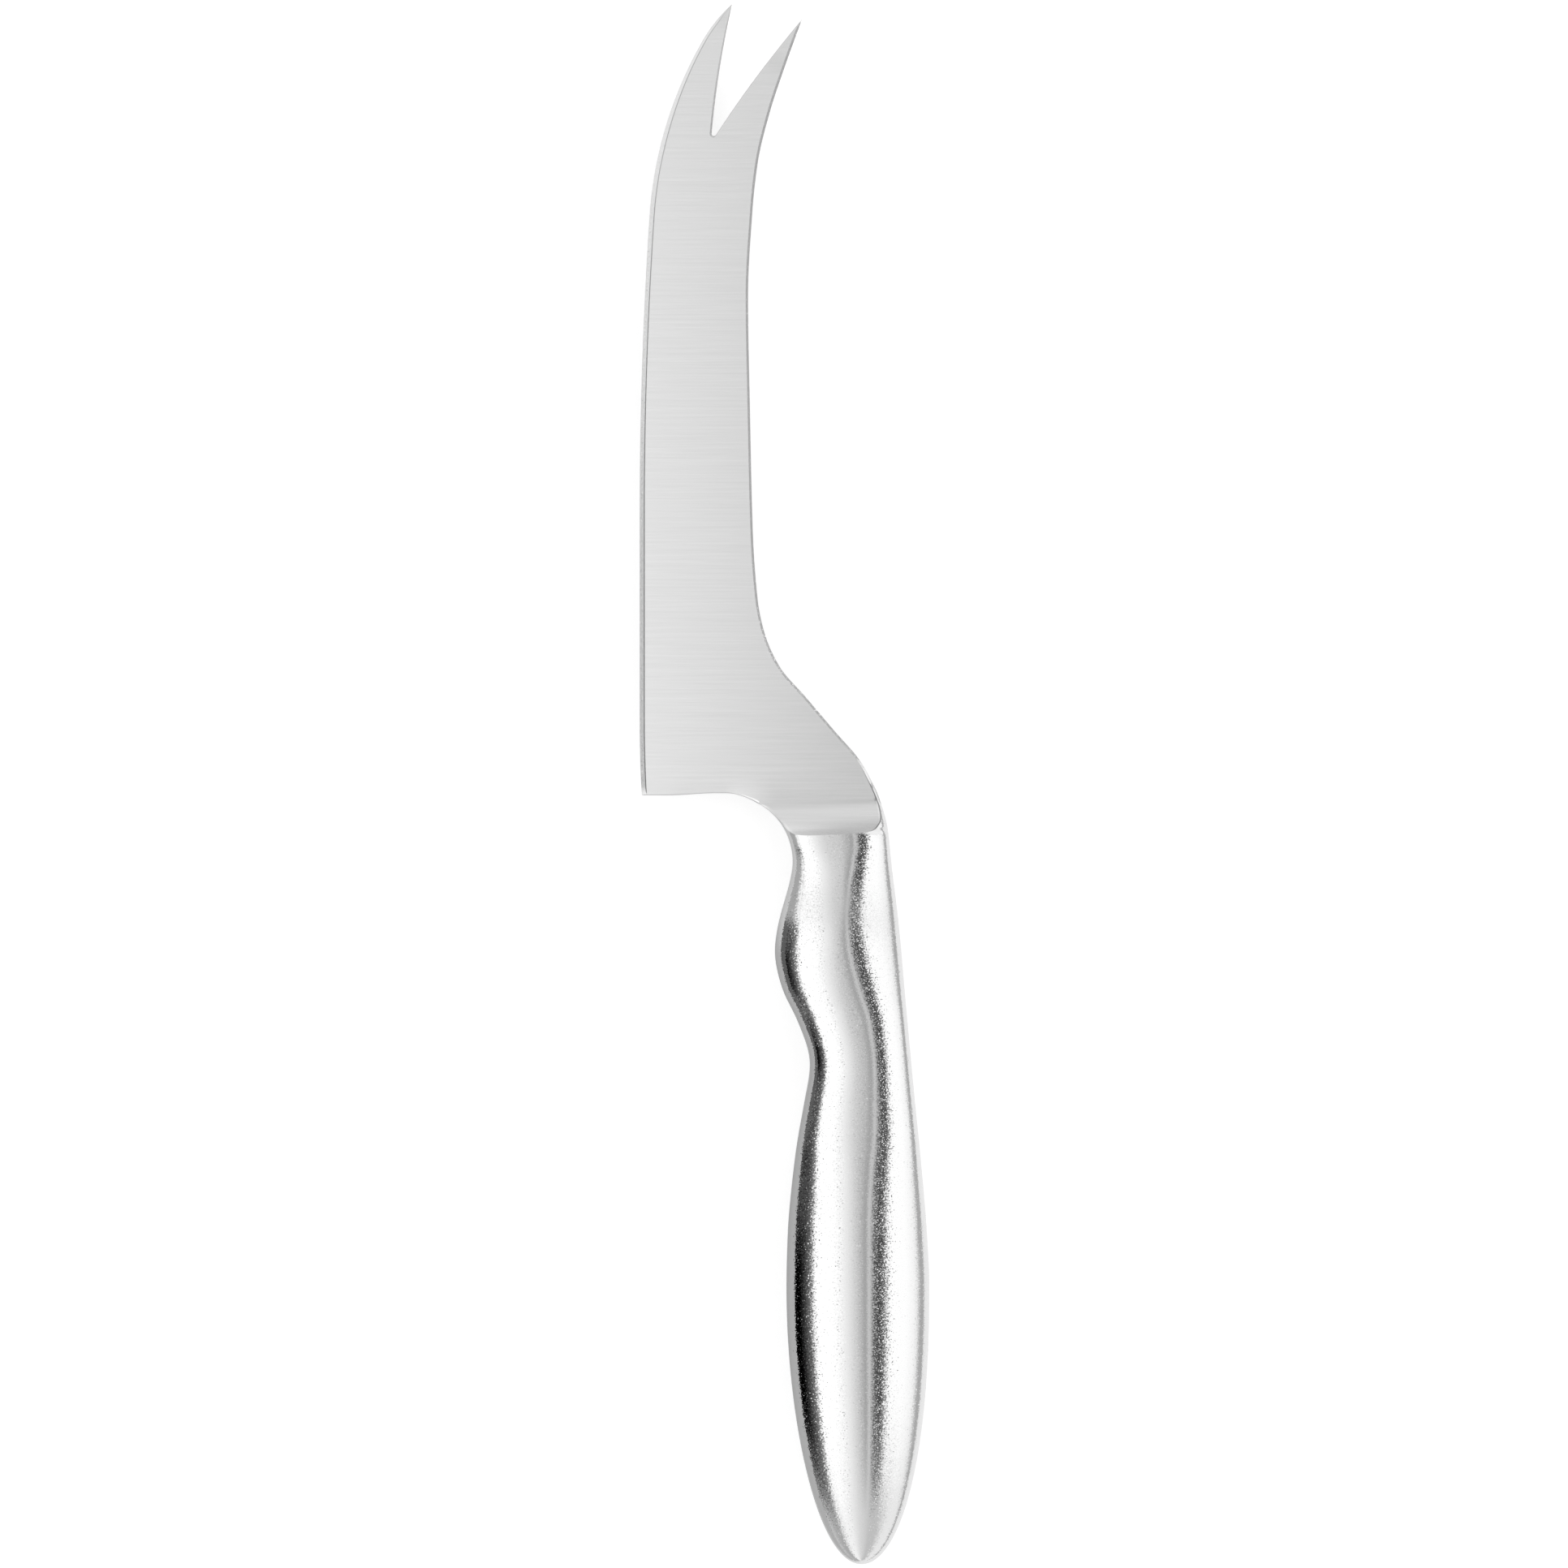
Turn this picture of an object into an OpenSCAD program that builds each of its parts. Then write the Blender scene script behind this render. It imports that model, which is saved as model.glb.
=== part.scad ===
// Fork-tipped cheese knife, all steel, with a hollow handle.
// Millimetres. Lengths across the knife are measured from the line of the cutting edge,
// and lengths along it from the heel, the square corner where the cutting edge ends.
// The long prong's tip points to +Y, the butt to -Y, the cutting edge to -X.

/* [Blade] */
// Heel to the tip of the long prong
blade_l = 130; // [120:1:145]
// Cutting edge to the back at the narrowest part of the blade
blade_w = 17.8; // [16:0.1:20]
// Thickness of the sheet that the blade is stamped from
stock_t = 2; // [1.6:0.1:2.6]
// How far from the edge the tapered grind runs out into the full sheet
taper_w = 20; // [19:0.25:21]
// Thickness where the tapered grind meets the sharpened bevel
behind_edge_t = 0.6; // [0.4:0.05:0.9]
// Width of the sharpened bevel
bevel_w = 0.85; // [0.5:0.05:1.2]
// Thickness left at the cutting edge itself
edge_t = 0.1; // [0.05:0.01:0.2]

/* [Curve of the cutting edge] */
// Radius of the slow curve that follows the straight stretch
slow_r = 730; // [500:10:900]
// Sweep of the slow curve in degrees
slow_sweep = 3.8; // [3:0.1:4.5]
// Radius of the belly below the tip
belly_r = 67; // [55:1:80]
// Sweep of the belly in degrees
belly_sweep = 26; // [22:0.5:28]
// Radius of the last curve into the tip
tip_r = 24; // [22:0.5:30]
// Sweep of the last curve in degrees
tip_sweep = 18.5; // [14:0.5:22]

/* [Fork] */
// Sideways distance between the two tips
fork_gape = 11.5; // [10:0.1:13]
// How far the short prong's tip stays below the long one's
short_tip_drop = 2.5; // [1:0.1:5]
// Depth of the notch below the long prong's tip
notch_d = 21.7; // [16:0.1:26]
// Notch bottom, across from the cutting edge line
notch_x = 12.2; // [11:0.1:13]
// Radius of the notch bottom
notch_r = 0.4; // [0.3:0.05:0.8]
// How far each side of the notch bows towards the cutting edge
notch_bow = 0.35; // [0:0.05:0.6]

/* [Neck] */
// Radius of the quarter round between the heel line and the neck
choil_r = 11; // [8:0.5:13]
// Finger side of the neck
neck_front_x = 25.2; // [23:0.1:27]
// Back of the neck
neck_back_x = 41.35; // [39:0.05:43]
// Thickness of the neck
neck_t = 8.1; // [7:0.1:9.5]
// Distance above the heel line where the blade's back starts to flare out to the neck
flare_y = 32; // [28:0.5:38]
// Radius of the wheel that ground the ramp between the blade and the neck
ramp_r = 8; // [6.5:0.1:10]
// Distance behind the heel line where the ramp starts
ramp_y = 1.4; // [0.8:0.1:2]

/* [Handle] */
// Heel line to the end of the butt
handle_l = 126.3; // [118:0.5:135]
// Distance behind the heel line of the bump between the fingers
bump_y = 25.6; // [23:0.1:28]
// Finger side at the bump
bump_x = 22.15; // [20.5:0.05:24]
// Thickness at the bump
bump_t = 10.2; // [9:0.1:12]
// Distance behind the heel line of the waist behind the bump
waist_y = 44; // [41:0.5:47]
// Finger side at the waist
waist_x = 28; // [26.5:0.1:29]
// Thickness at the waist
waist_t = 9.5; // [8.5:0.1:11]
// Distance behind the heel line of the widest part
belly_y = 80.7; // [75:0.5:86]
// Palm side at the widest part
belly_x = 24.1; // [22:0.1:26]
// Back of the handle at the widest part
belly_back_x = 47.6; // [45:0.1:50]
// Thickness at the widest part
belly_t = 12.7; // [11:0.1:15]
// Middle of the butt's end
butt_x = 36.45; // [34:0.1:38]

/* [Construction] */
// Wall of the two pressed handle shells
wall = 1; // [0.7:0.05:1.3]
// Width of the weld beads
weld_w = 0.8; // [0.5:0.05:1.1]
// Distance behind the heel line where the shells are welded on
joint_y = 16; // [15:0.1:18]
// Width of the tang
tang_w = 9; // [7:0.1:10]
// Length of the tang inside the handle
tang_l = 62; // [45:1:75]
// Diameter of the two holes that lock the tang in the filling
tang_hole_d = 5; // [3:0.1:6]
// Gap between the filling and the shells
fill_gap = 0.1; // [0.05:0.05:0.2]
// Diameter of the dowel that lines up the cheeks with the blade
pin_d = 4; // [2.5:0.1:5]
// Length of the dowel
pin_l = 5; // [3.5:0.1:5.5]
// Clearance round the dowel, and at each of its ends
pin_gap = 0.05; // [0.03:0.01:0.1]

/* [Hidden] */

$fn = 64;
// Overrun of every cut
over = 3;
// Facets: steps round half a section, rings ahead of and behind the widest part
round_steps = 18;
front_rings = 30;
butt_rings = 14;
// Facets of each curve of the cutting edge, of the back and of the notch sides
curve_steps = 8;
back_steps = 40;
bow_steps = 6;

// Squareness of the handle's sections: 2 is an ellipse, more is fuller
section_power = 2.4;
// Squareness of the butt seen from the side, and seen from above
butt_power = 2.3;
butt_plan_power = 2.05;

// The back of the blade from the short tip to the flare: share of blade_l, share of blade_w
back_shares = [[0.923, 1.345], [0.862, 1.198], [0.8, 1.09], [0.738, 1.04], [0.63, 1], [0.49, 1.017],
    [0.33, 1.045]];
// The back where the flare starts, as a share of blade_w
flare_share = 1.09;
// The flare from there to the neck: share of the way along, share of the way across
flare_shares = [[0.123, 0.05], [0.249, 0.159], [0.372, 0.364], [0.495, 0.569], [0.621, 0.779], [0.681, 0.843],
    [0.737, 0.897], [0.793, 0.934], [0.849, 0.966], [0.914, 0.984]];
// The handle's back from the neck to the widest part: share of the way along, share of the way across
handle_back_shares = [[0.14, 0.19], [0.33, 0.38], [0.52, 0.575], [0.71, 0.785], [0.87, 0.935]];
// The neck's finger side down to the bump: share of the way along, share of the way across
finger_shares = [[0.2, 0.16], [0.43, 0.46], [0.66, 0.77]];
// The hollow from the bump to the waist: share of the way along, share of the way across
waist_shares = [[0.32, 0.195], [0.62, 0.645]];
// The palm swell from the waist to the widest part: share of the way along, share of the way across
swell_shares = [[0.18, 0.26], [0.36, 0.56], [0.55, 0.78], [0.75, 0.94]];
// The tang's end, as a share of its width
tang_end_share = 0.5;
// The tang's holes, as shares of its length
tang_hole_shares = [0.35, 0.75];
// Where the cap of a closing loft is cut, as a share of the height of its flat above the middle
cap_share = 1.3;

neck_y = choil_r;
half_stock = stock_t / 2;
half_weld = weld_w / 2;
butt_l = handle_l - belly_y;
belly_half_w = (belly_back_x - belly_x) / 2;
belly_mid_x = belly_x + belly_half_w;

// The knife's own frame: X and Y from the middle of its length and breadth, Z from its underside
module placed() {
    translate([-belly_back_x / 2, (handle_l - blade_l) / 2, belly_t / 2]) children();
}

// Smooth curve through points [place, value] whose places rise: it keeps every hump and dip
function rise(p, i) = (p[i + 1][1] - p[i][1]) / (p[i + 1][0] - p[i][0]);
function slope_at(p, i) =
    i == 0 || i == len(p) - 1 ? 0
    : let (before = rise(p, i - 1), after = rise(p, i))
        before * after <= 0 ? 0 : 2 * before * after / (before + after);
function end_slope(p, i, given) = i == 0 && given ? rise(p, 0) : slope_at(p, i);
function piece_of(p, at, i = 0) = i >= len(p) - 2 || at <= p[i + 1][0] ? i : piece_of(p, at, i + 1);
function smooth(p, at, free_start = false) =
    let (
        i = piece_of(p, at),
        span = p[i + 1][0] - p[i][0],
        t = min(max((at - p[i][0]) / span, 0), 1),
        m0 = end_slope(p, i, free_start) * span,
        m1 = end_slope(p, i + 1, free_start) * span
    )
    p[i][1] * (2 * t ^ 3 - 3 * t ^ 2 + 1) + m0 * (t ^ 3 - 2 * t ^ 2 + t)
        + p[i + 1][1] * (3 * t ^ 2 - 2 * t ^ 3) + m1 * (t ^ 3 - t ^ 2);

// Curve of the cutting edge: radii, and the direction at the start of each arc, in degrees from +Y
edge_radii = [slow_r, belly_r, tip_r];
edge_turns = [0, slow_sweep, slow_sweep + belly_sweep, slow_sweep + belly_sweep + tip_sweep];
function arc_step(k) =
    let (from = edge_turns[k], to = edge_turns[k + 1])
    edge_radii[k] * [cos(from) - cos(to), sin(to) - sin(from)];
edge_straight_l = blade_l - arc_step(0)[1] - arc_step(1)[1] - arc_step(2)[1];
arc_start = [
    [0, edge_straight_l],
    [0, edge_straight_l] + arc_step(0),
    [0, edge_straight_l] + arc_step(0) + arc_step(1)
];
long_tip = arc_start[2] + arc_step(2);
function inward(turn) = [cos(turn), -sin(turn)];
function edge_point(k, turn) = arc_start[k] + edge_radii[k] * (inward(edge_turns[k]) - inward(turn));
// Places along the curved edge: [arc, direction], each a share of a step on from the last whole step
function edge_places(share) = [for (k = [0:2], i = [0:curve_steps - 1])
    [k, edge_turns[k] + (edge_turns[k + 1] - edge_turns[k]) * (i + share) / curve_steps]];
edge_curve = [for (e = edge_places(0)) edge_point(e[0], e[1])];

// Outlines, as the distance behind the heel line against the distance from the cutting edge line
flare_x = flare_share * blade_w;
short_tip_y = blade_l - short_tip_drop;
back_curve = concat(
    [[-short_tip_y, long_tip[0] + fork_gape]],
    [for (s = back_shares) [-s[0] * blade_l, s[1] * blade_w]],
    [[-flare_y, flare_x]],
    [for (s = flare_shares) [-flare_y + s[0] * (flare_y + neck_y), flare_x + s[1] * (neck_back_x - flare_x)]],
    [[neck_y, neck_back_x]],
    [for (s = handle_back_shares)
        [neck_y + s[0] * (belly_y - neck_y), neck_back_x + s[1] * (belly_back_x - neck_back_x)]],
    [[belly_y, belly_back_x]]
);
finger_curve = concat(
    [[neck_y, neck_front_x]],
    [for (s = finger_shares)
        [neck_y + s[0] * (bump_y - neck_y), neck_front_x + s[1] * (bump_x - neck_front_x)]],
    [[bump_y, bump_x]],
    [for (s = waist_shares) [bump_y + s[0] * (waist_y - bump_y), bump_x + s[1] * (waist_x - bump_x)]],
    [[waist_y, waist_x]],
    [for (s = swell_shares) [waist_y + s[0] * (belly_y - waist_y), waist_x + s[1] * (belly_x - waist_x)]],
    [[belly_y, belly_x]]
);
thick_curve = [[neck_y, neck_t / 2], [bump_y, bump_t / 2], [waist_y, waist_t / 2], [belly_y, belly_t / 2]];

// How far into the rounded butt a place lies, from 0 at the widest part to 1 at the end
function butt_share(y) = min(max((y - belly_y) / butt_l, 0), 1);
// The choil's quarter round, then the finger side of the handle
function finger_x(y) =
    y < neck_y ? neck_front_x - choil_r + sqrt(max(choil_r ^ 2 - (y - choil_r) ^ 2, 0))
    : smooth(finger_curve, y);
function back_x(y) = smooth(back_curve, y, true);
function mid_x(y) =
    y <= belly_y ? (finger_x(y) + back_x(y)) / 2
    : belly_mid_x + (butt_x - belly_mid_x) * smooth([[0, 0], [1, 1]], butt_share(y));
function half_w(y) =
    y <= belly_y ? (back_x(y) - finger_x(y)) / 2
    : belly_half_w * (1 - butt_share(y) ^ butt_plan_power) ^ (1 / butt_plan_power);
function half_t(y) =
    y <= belly_y ? smooth(thick_curve, y) : belly_t / 2 * (1 - butt_share(y) ^ butt_power) ^ (1 / butt_power);
// Half the width of a section at a height above the middle plane
function half_w_at(y, z) = half_w(y) * (1 - (z / half_t(y)) ^ section_power) ^ (1 / section_power);

// Place where the handle, less an inset, has thinned down to a height above the middle plane
function butt_place(height) =
    belly_y + butt_l * (1 - (height / (belly_t / 2)) ^ butt_power) ^ (1 / butt_power);

// Ring places from one end to the other: even up to the widest part, then closing up round the butt
function ring_places(start, end) =
    let (last = asin((end - belly_y) / butt_l))
    concat(
        [for (i = [0:front_rings - 1]) start + (belly_y - start) * i / front_rings],
        [for (i = [0:butt_rings]) belly_y + butt_l * sin(last * i / butt_rings)]
    );

// Upper half of a section, from the back over the crown to the finger side, above the height low
function half_ring(y, inset, low) =
    let (
        w = half_w(y) - inset,
        t = half_t(y) - inset,
        first = asin((low / t) ^ (section_power / 2))
    )
    [for (i = [0:round_steps])
        let (a = first + (180 - 2 * first) * i / round_steps)
        [mid_x(y) + w * sign(cos(a)) * abs(cos(a)) ^ (2 / section_power), -y,
            i == 0 || i == round_steps ? low : t * sin(a) ^ (2 / section_power)]];

// Whole section
function whole_ring(y, inset) =
    let (upper = half_ring(y, inset, 0))
    concat(upper, [for (i = [round_steps - 1:-1:1]) [upper[i][0], -y, -upper[i][2]]]);

// Two triangles between rings of n points, the corners of the cell given as numbers of points
function cell(a, b, c, d) = [[a, b, c], [a, c, d]];
// Skin of rings: first point, points a ring, rings, and whether the rings close on themselves
function skin(from, n, rings, closed) =
    [for (r = [0:rings - 2], i = [0:n - (closed ? 1 : 2)])
        let (j = (i + 1) % n, a = from + r * n)
        each cell(a + i, a + n + i, a + n + j, a + j)];
function turned(faces) = [for (f = faces) [for (i = [len(f) - 1:-1:0]) f[i]]];
// Numbers of the n points that start at a
function run(a, n) = [for (i = [0:n - 1]) a + i];

// Solid through whole sections at the given places
module whole_loft(places, inset) {
    n = 2 * round_steps;
    last = (len(places) - 1) * n;
    polyhedron(
        [for (y = places) each whole_ring(y, inset)],
        concat(skin(0, n, len(places), true), [run(0, n)], turned([run(last, n)])),
        convexity = 4
    );
}

// Solid through upper half sections, flat at the height low
module half_loft(places, low) {
    n = round_steps + 1;
    last = (len(places) - 1) * n;
    polyhedron(
        [for (y = places) each half_ring(y, 0, low)],
        concat(
            skin(0, n, len(places), false),
            [for (r = [0:len(places) - 2]) [r * n, r * n + n - 1, (r + 1) * n + n - 1, (r + 1) * n]],
            [run(0, n)],
            turned([run(last, n)])
        ),
        convexity = 4
    );
}

// Open shell: an outer and an inner skin, a rim in the plane low, and a front edge
module half_shell(outer_places, inner_places, low) {
    n = round_steps + 1;
    rings = len(outer_places);
    inner = rings * n;
    last = (rings - 1) * n;
    polyhedron(
        concat(
            [for (y = outer_places) each half_ring(y, 0, low)],
            [for (y = inner_places) each half_ring(y, wall, low)]
        ),
        concat(
            skin(0, n, rings, false),
            turned(skin(inner, n, rings, false)),
            [for (r = [0:rings - 2])
                let (a = r * n, b = a + n, c = inner + b, d = inner + a) each cell(a, d, c, b)],
            [for (r = [0:rings - 2])
                let (a = r * n + n - 1, b = a + n, c = inner + b, d = inner + a) each cell(a, b, c, d)],
            [for (i = [0:n - 2]) [i, i + 1, inner + i + 1, inner + i]],
            turned([run(last, n)]),
            [run(inner + last, n)],
            [[last, inner + last, inner + last + n - 1, last + n - 1]]
        ),
        convexity = 4
    );
}

// Line between two points that bows sideways by a given amount
function bowed(p, q, bow) =
    let (d = (q - p) / norm(q - p), side = [d[1], -d[0]])
    [for (i = [0:bow_steps]) let (t = i / bow_steps) p + (q - p) * t + side * bow * 4 * t * (1 - t)];

notch_mid = [notch_x, blade_l - notch_d + notch_r];
short_tip = [long_tip[0] + fork_gape, short_tip_y];
notch_lean = atan2(short_tip[0] - notch_mid[0], short_tip[1] - notch_mid[1]);
function notch_side(turn) = notch_mid + notch_r * [cos(turn), sin(turn)];
notch_outline = concat(
    bowed(short_tip, notch_side(-notch_lean), notch_bow),
    [for (i = [1:bow_steps - 1]) notch_side(-notch_lean - (180 - notch_lean) * i / bow_steps)],
    bowed(notch_side(180), long_tip, -notch_bow)
);

// Blank outline, anticlockwise from the heel
neck_places = [for (i = [0:curve_steps]) ramp_y + (joint_y - ramp_y) * i / curve_steps];
tang_places = [for (i = [0:curve_steps]) joint_y + tang_l * i / curve_steps];
back_places = [for (i = [1:back_steps - 1]) ramp_y - (ramp_y + short_tip_y) * i / back_steps];
choil_turn = acos(1 - ramp_y / choil_r);
tang_end_half_w = tang_w * tang_end_share / 2;
blank_outline = concat(
    [[0, 0]],
    [for (i = [0:bow_steps - 1])
        let (a = 90 - choil_turn * i / bow_steps)
        [neck_front_x - choil_r, -choil_r] + choil_r * [cos(a), sin(a)]],
    [for (y = neck_places) [mid_x(y) - half_w_at(y, half_stock), -y]],
    [for (y = tang_places) [mid_x(y) - tang_w / 2, -y]],
    [for (side = [-1, 1])
        [mid_x(joint_y + tang_l) + side * tang_end_half_w, -joint_y - tang_l - tang_end_half_w]],
    [for (i = [curve_steps:-1:0]) let (y = tang_places[i]) [mid_x(y) + tang_w / 2, -y]],
    [for (i = [curve_steps:-1:0]) let (y = neck_places[i]) [mid_x(y) + half_w_at(y, half_stock), -y]],
    [for (y = back_places) [back_x(y), -y]],
    notch_outline,
    [for (i = [len(edge_curve) - 1:-1:0]) edge_curve[i]]
);

module blank() {
    linear_extrude(height = stock_t, center = true) polygon(blank_outline);
}

// Grinding: section of what is ground off the upper face, as [distance in from the edge, height]
bevel_slope = (behind_edge_t - edge_t) / 2 / bevel_w;
taper_slope = (stock_t - behind_edge_t) / 2 / (taper_w - bevel_w);
// Sweep past the long tip that carries the grind over the short prong
fork_sweep = 45;
runout = over * taper_slope;
grind_section = [
    [bevel_w, behind_edge_t / 2],
    [taper_w + over, half_stock + runout],
    [taper_w + over, stock_t],
    [-over, stock_t],
    [-over, edge_t / 2 - over * bevel_slope]
];
fork_places = [for (i = [1:curve_steps]) [2, edge_turns[3] + fork_sweep * i / curve_steps]];
function grind_ring(point, turn) =
    [for (s = grind_section) let (p = point + s[0] * inward(turn)) [p[0], p[1], s[1]]];

module ground_off() {
    n = len(grind_section);
    rings = concat(
        [grind_ring([0, -over], 0), grind_ring([0, edge_straight_l - over], 0)],
        [for (e = concat(edge_places(0.5), fork_places)) grind_ring(edge_point(e[0], e[1]), e[1])]
    );
    last = (len(rings) - 1) * n;
    polyhedron(
        [for (r = rings) each r],
        concat(
            [for (r = [0:len(rings) - 2], i = [0:n - 1])
                let (j = (i + 1) % n, a = r * n) [a + i, a + j, a + n + j, a + n + i]],
            turned([run(0, n)]),
            [run(last, n)]
        ),
        convexity = 4
    );
}

// The dowel stands midway between the top of the ramp and the shells
ramp_low_z = half_stock + sqrt(ramp_r ^ 2 - (ramp_r / 4) ^ 2);
ramp_mid_y = ramp_y - ramp_r / 4;
ramp_top_y = ramp_mid_y + sqrt(ramp_r ^ 2 - (ramp_low_z - neck_t / 2) ^ 2);
pin_y = (ramp_top_y + joint_y) / 2;
module at_pin() {
    translate([mid_x(pin_y), -pin_y, 0]) children();
}

// Stamped and ground blade with its neck and tang
module blade() {
    color([0.82, 0.83, 0.84]) placed() difference() {
        blank();
        ground_off();
        mirror([0, 0, 1]) ground_off();
        at_pin() cylinder(d = pin_d + 2 * pin_gap, h = stock_t + over, center = true);
        for (share = tang_hole_shares)
            translate([mid_x(joint_y + share * tang_l), -joint_y - share * tang_l, 0])
                cylinder(d = tang_hole_d, h = stock_t + over, center = true);
    }
}

// Cheek welded on one flank of the blade, its front ground to a hollow ramp
module cheek() {
    cheek_places = [for (i = [0:curve_steps]) joint_y * i / curve_steps];
    difference() {
        half_loft([for (i = [curve_steps:-1:0]) cheek_places[i]], half_stock);
        translate([0, -ramp_mid_y, ramp_low_z])
            rotate([0, 90, 0]) cylinder(r = ramp_r, h = neck_back_x + over, $fn = 96);
        at_pin() cylinder(d = pin_d + 2 * pin_gap, h = pin_l + 2 * pin_gap, center = true);
    }
}

module bolster_cheek_upper() {
    color([0.74, 0.75, 0.77]) placed() cheek();
}

module bolster_cheek_lower() {
    color([0.74, 0.75, 0.77]) placed() mirror([0, 0, 1]) cheek();
}

// Dowel hidden inside the neck
module bolster_pin() {
    color([0.6, 0.6, 0.62]) placed() at_pin() cylinder(d = pin_d, h = pin_l, center = true);
}

shell_start = joint_y + weld_w;
shell_end = butt_place(cap_share * half_weld);
hollow_end = butt_place(wall + cap_share * half_weld);

module shell() {
    half_shell(ring_places(shell_start, shell_end), ring_places(shell_start, hollow_end), half_weld);
}

module handle_shell_upper() {
    color([0.72, 0.73, 0.75]) placed() shell();
}

module handle_shell_lower() {
    color([0.72, 0.73, 0.75]) placed() mirror([0, 0, 1]) shell();
}

// Bead that joins the two shells edge to edge, ground flush
module seam_weld() {
    outer = ring_places(shell_start, handle_l);
    inner = ring_places(shell_start - over, hollow_end);
    color([0.66, 0.67, 0.69]) placed()
        linear_extrude(height = weld_w, center = true) difference() {
            polygon(seam_outline(outer, 0));
            polygon(seam_outline(inner, wall));
        }
}
function seam_outline(places, inset) = concat(
    [for (y = places) [mid_x(y) - half_w(y) + inset, -y]],
    [for (i = [len(places) - 1:-1:0]) let (y = places[i]) [mid_x(y) + half_w(y) - inset, -y]]
);

// Bead that joins the shells to the cheeks
module neck_weld() {
    color([0.66, 0.67, 0.69]) placed() difference() {
        whole_loft([joint_y, shell_start], 0);
        whole_loft([joint_y - over, shell_start + over], wall);
    }
}

// Cement cast round the tang
module handle_filling() {
    inset = wall + fill_gap;
    color([0.55, 0.53, 0.5]) placed() difference() {
        whole_loft(ring_places(joint_y + fill_gap, butt_place(inset + half_stock)), inset);
        blank();
    }
}

blade();
bolster_cheek_upper();
bolster_cheek_lower();
bolster_pin();
handle_shell_upper();
handle_shell_lower();
seam_weld();
neck_weld();
handle_filling();
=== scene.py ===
"""Fork-tipped cheese knife, all steel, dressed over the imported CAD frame.

Sizes are in millimetres, as in the CAD part. Working points are (x, up, z): x runs from the line of
the cutting edge, up from the heel line towards the tips, and z from the middle plane. Along the
handle a place is given as the distance behind the heel line, which is minus up.
"""

import logging
import math
from dataclasses import dataclass, field
from enum import Enum, IntEnum
from typing import Callable, Optional, Sequence

import bpy
import numpy as np
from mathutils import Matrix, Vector
from mathutils.geometry import delaunay_2d_cdt

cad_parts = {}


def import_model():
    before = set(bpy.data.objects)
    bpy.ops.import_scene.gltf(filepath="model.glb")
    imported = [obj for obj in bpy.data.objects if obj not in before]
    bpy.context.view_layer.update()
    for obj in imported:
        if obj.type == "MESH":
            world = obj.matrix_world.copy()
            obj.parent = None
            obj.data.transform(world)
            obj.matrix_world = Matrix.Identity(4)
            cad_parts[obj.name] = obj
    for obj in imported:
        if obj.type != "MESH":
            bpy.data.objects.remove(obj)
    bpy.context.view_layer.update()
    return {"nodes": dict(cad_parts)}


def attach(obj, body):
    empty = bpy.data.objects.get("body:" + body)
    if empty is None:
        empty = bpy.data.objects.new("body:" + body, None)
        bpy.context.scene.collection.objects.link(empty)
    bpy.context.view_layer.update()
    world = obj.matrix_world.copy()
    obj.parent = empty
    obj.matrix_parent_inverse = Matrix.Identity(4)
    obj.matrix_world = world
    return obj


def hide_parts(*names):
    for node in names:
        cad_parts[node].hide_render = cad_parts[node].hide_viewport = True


MM = 0.001
TINY = 1e-9
LOG = logging.getLogger("cheese_knife")


class Side(Enum):
    """Side of the middle plane that a piece lies on."""

    UPPER = 1
    LOWER = -1


def blend_step(value: np.ndarray, start: float, end: float) -> np.ndarray:
    """Rises smoothly from 0 at start to 1 at end.

    Args:
        value: where to read the step.
        start: value at which it leaves 0.
        end: value at which it reaches 1.

    Returns:
        The step, from 0 to 1.
    """
    t = np.clip((np.asarray(value, float) - start) / (end - start), 0.0, 1.0)
    return t * t * (3 - 2 * t)


def round_points(centre: np.ndarray, radius: float, turns: np.ndarray) -> np.ndarray:
    """Points round a circle, at turns from its +x side."""
    return centre + radius * np.stack([np.cos(turns), np.sin(turns)], axis=-1)


class Curve:
    """Smooth curve through points whose places rise; it keeps every hump and dip."""

    STEP = 0.02

    def __init__(self, points: Sequence[Sequence[float]], free_start: bool = False) -> None:
        """Tabulates the curve.

        Args:
            points: pairs of place and value.
            free_start: whether the curve sets off at the slope of its first stretch.
        """
        self._points = points
        self._free_start = free_start
        count = int(round((points[-1][0] - points[0][0]) / self.STEP)) + 1
        self._places = np.linspace(points[0][0], points[-1][0], count)
        self._values = np.array([self._exact(at) for at in self._places])

    def _rise(self, i: int) -> float:
        """Slope of the straight line from point i to the next."""
        (x0, v0), (x1, v1) = self._points[i], self._points[i + 1]
        return (v1 - v0) / (x1 - x0)

    def _slope_at(self, i: int) -> float:
        """Slope of the curve at point i.

        Args:
            i: number of the point.

        Returns:
            The slope.
        """
        if i == 0 and self._free_start:
            return self._rise(0)
        if i in (0, len(self._points) - 1):
            return 0.0
        before, after = self._rise(i - 1), self._rise(i)
        return 0.0 if before * after <= 0 else 2 * before * after / (before + after)

    def _exact(self, at: float) -> float:
        """Value at a place.

        Args:
            at: the place.

        Returns:
            The value.
        """
        last = len(self._points) - 2
        i = next((k for k in range(last) if at <= self._points[k + 1][0]), last)
        (x0, v0), (x1, v1) = self._points[i], self._points[i + 1]
        span = x1 - x0
        t = min(max((at - x0) / span, 0.0), 1.0)
        start, end = self._slope_at(i) * span, self._slope_at(i + 1) * span
        return (
            v0 * (2 * t**3 - 3 * t**2 + 1) + start * (t**3 - 2 * t**2 + t)
            + v1 * (3 * t**2 - 2 * t**3) + end * (t**3 - t**2)
        )

    def __call__(self, at: np.ndarray) -> np.ndarray:
        """Values at an array of places."""
        return np.interp(at, self._places, self._values)


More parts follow.
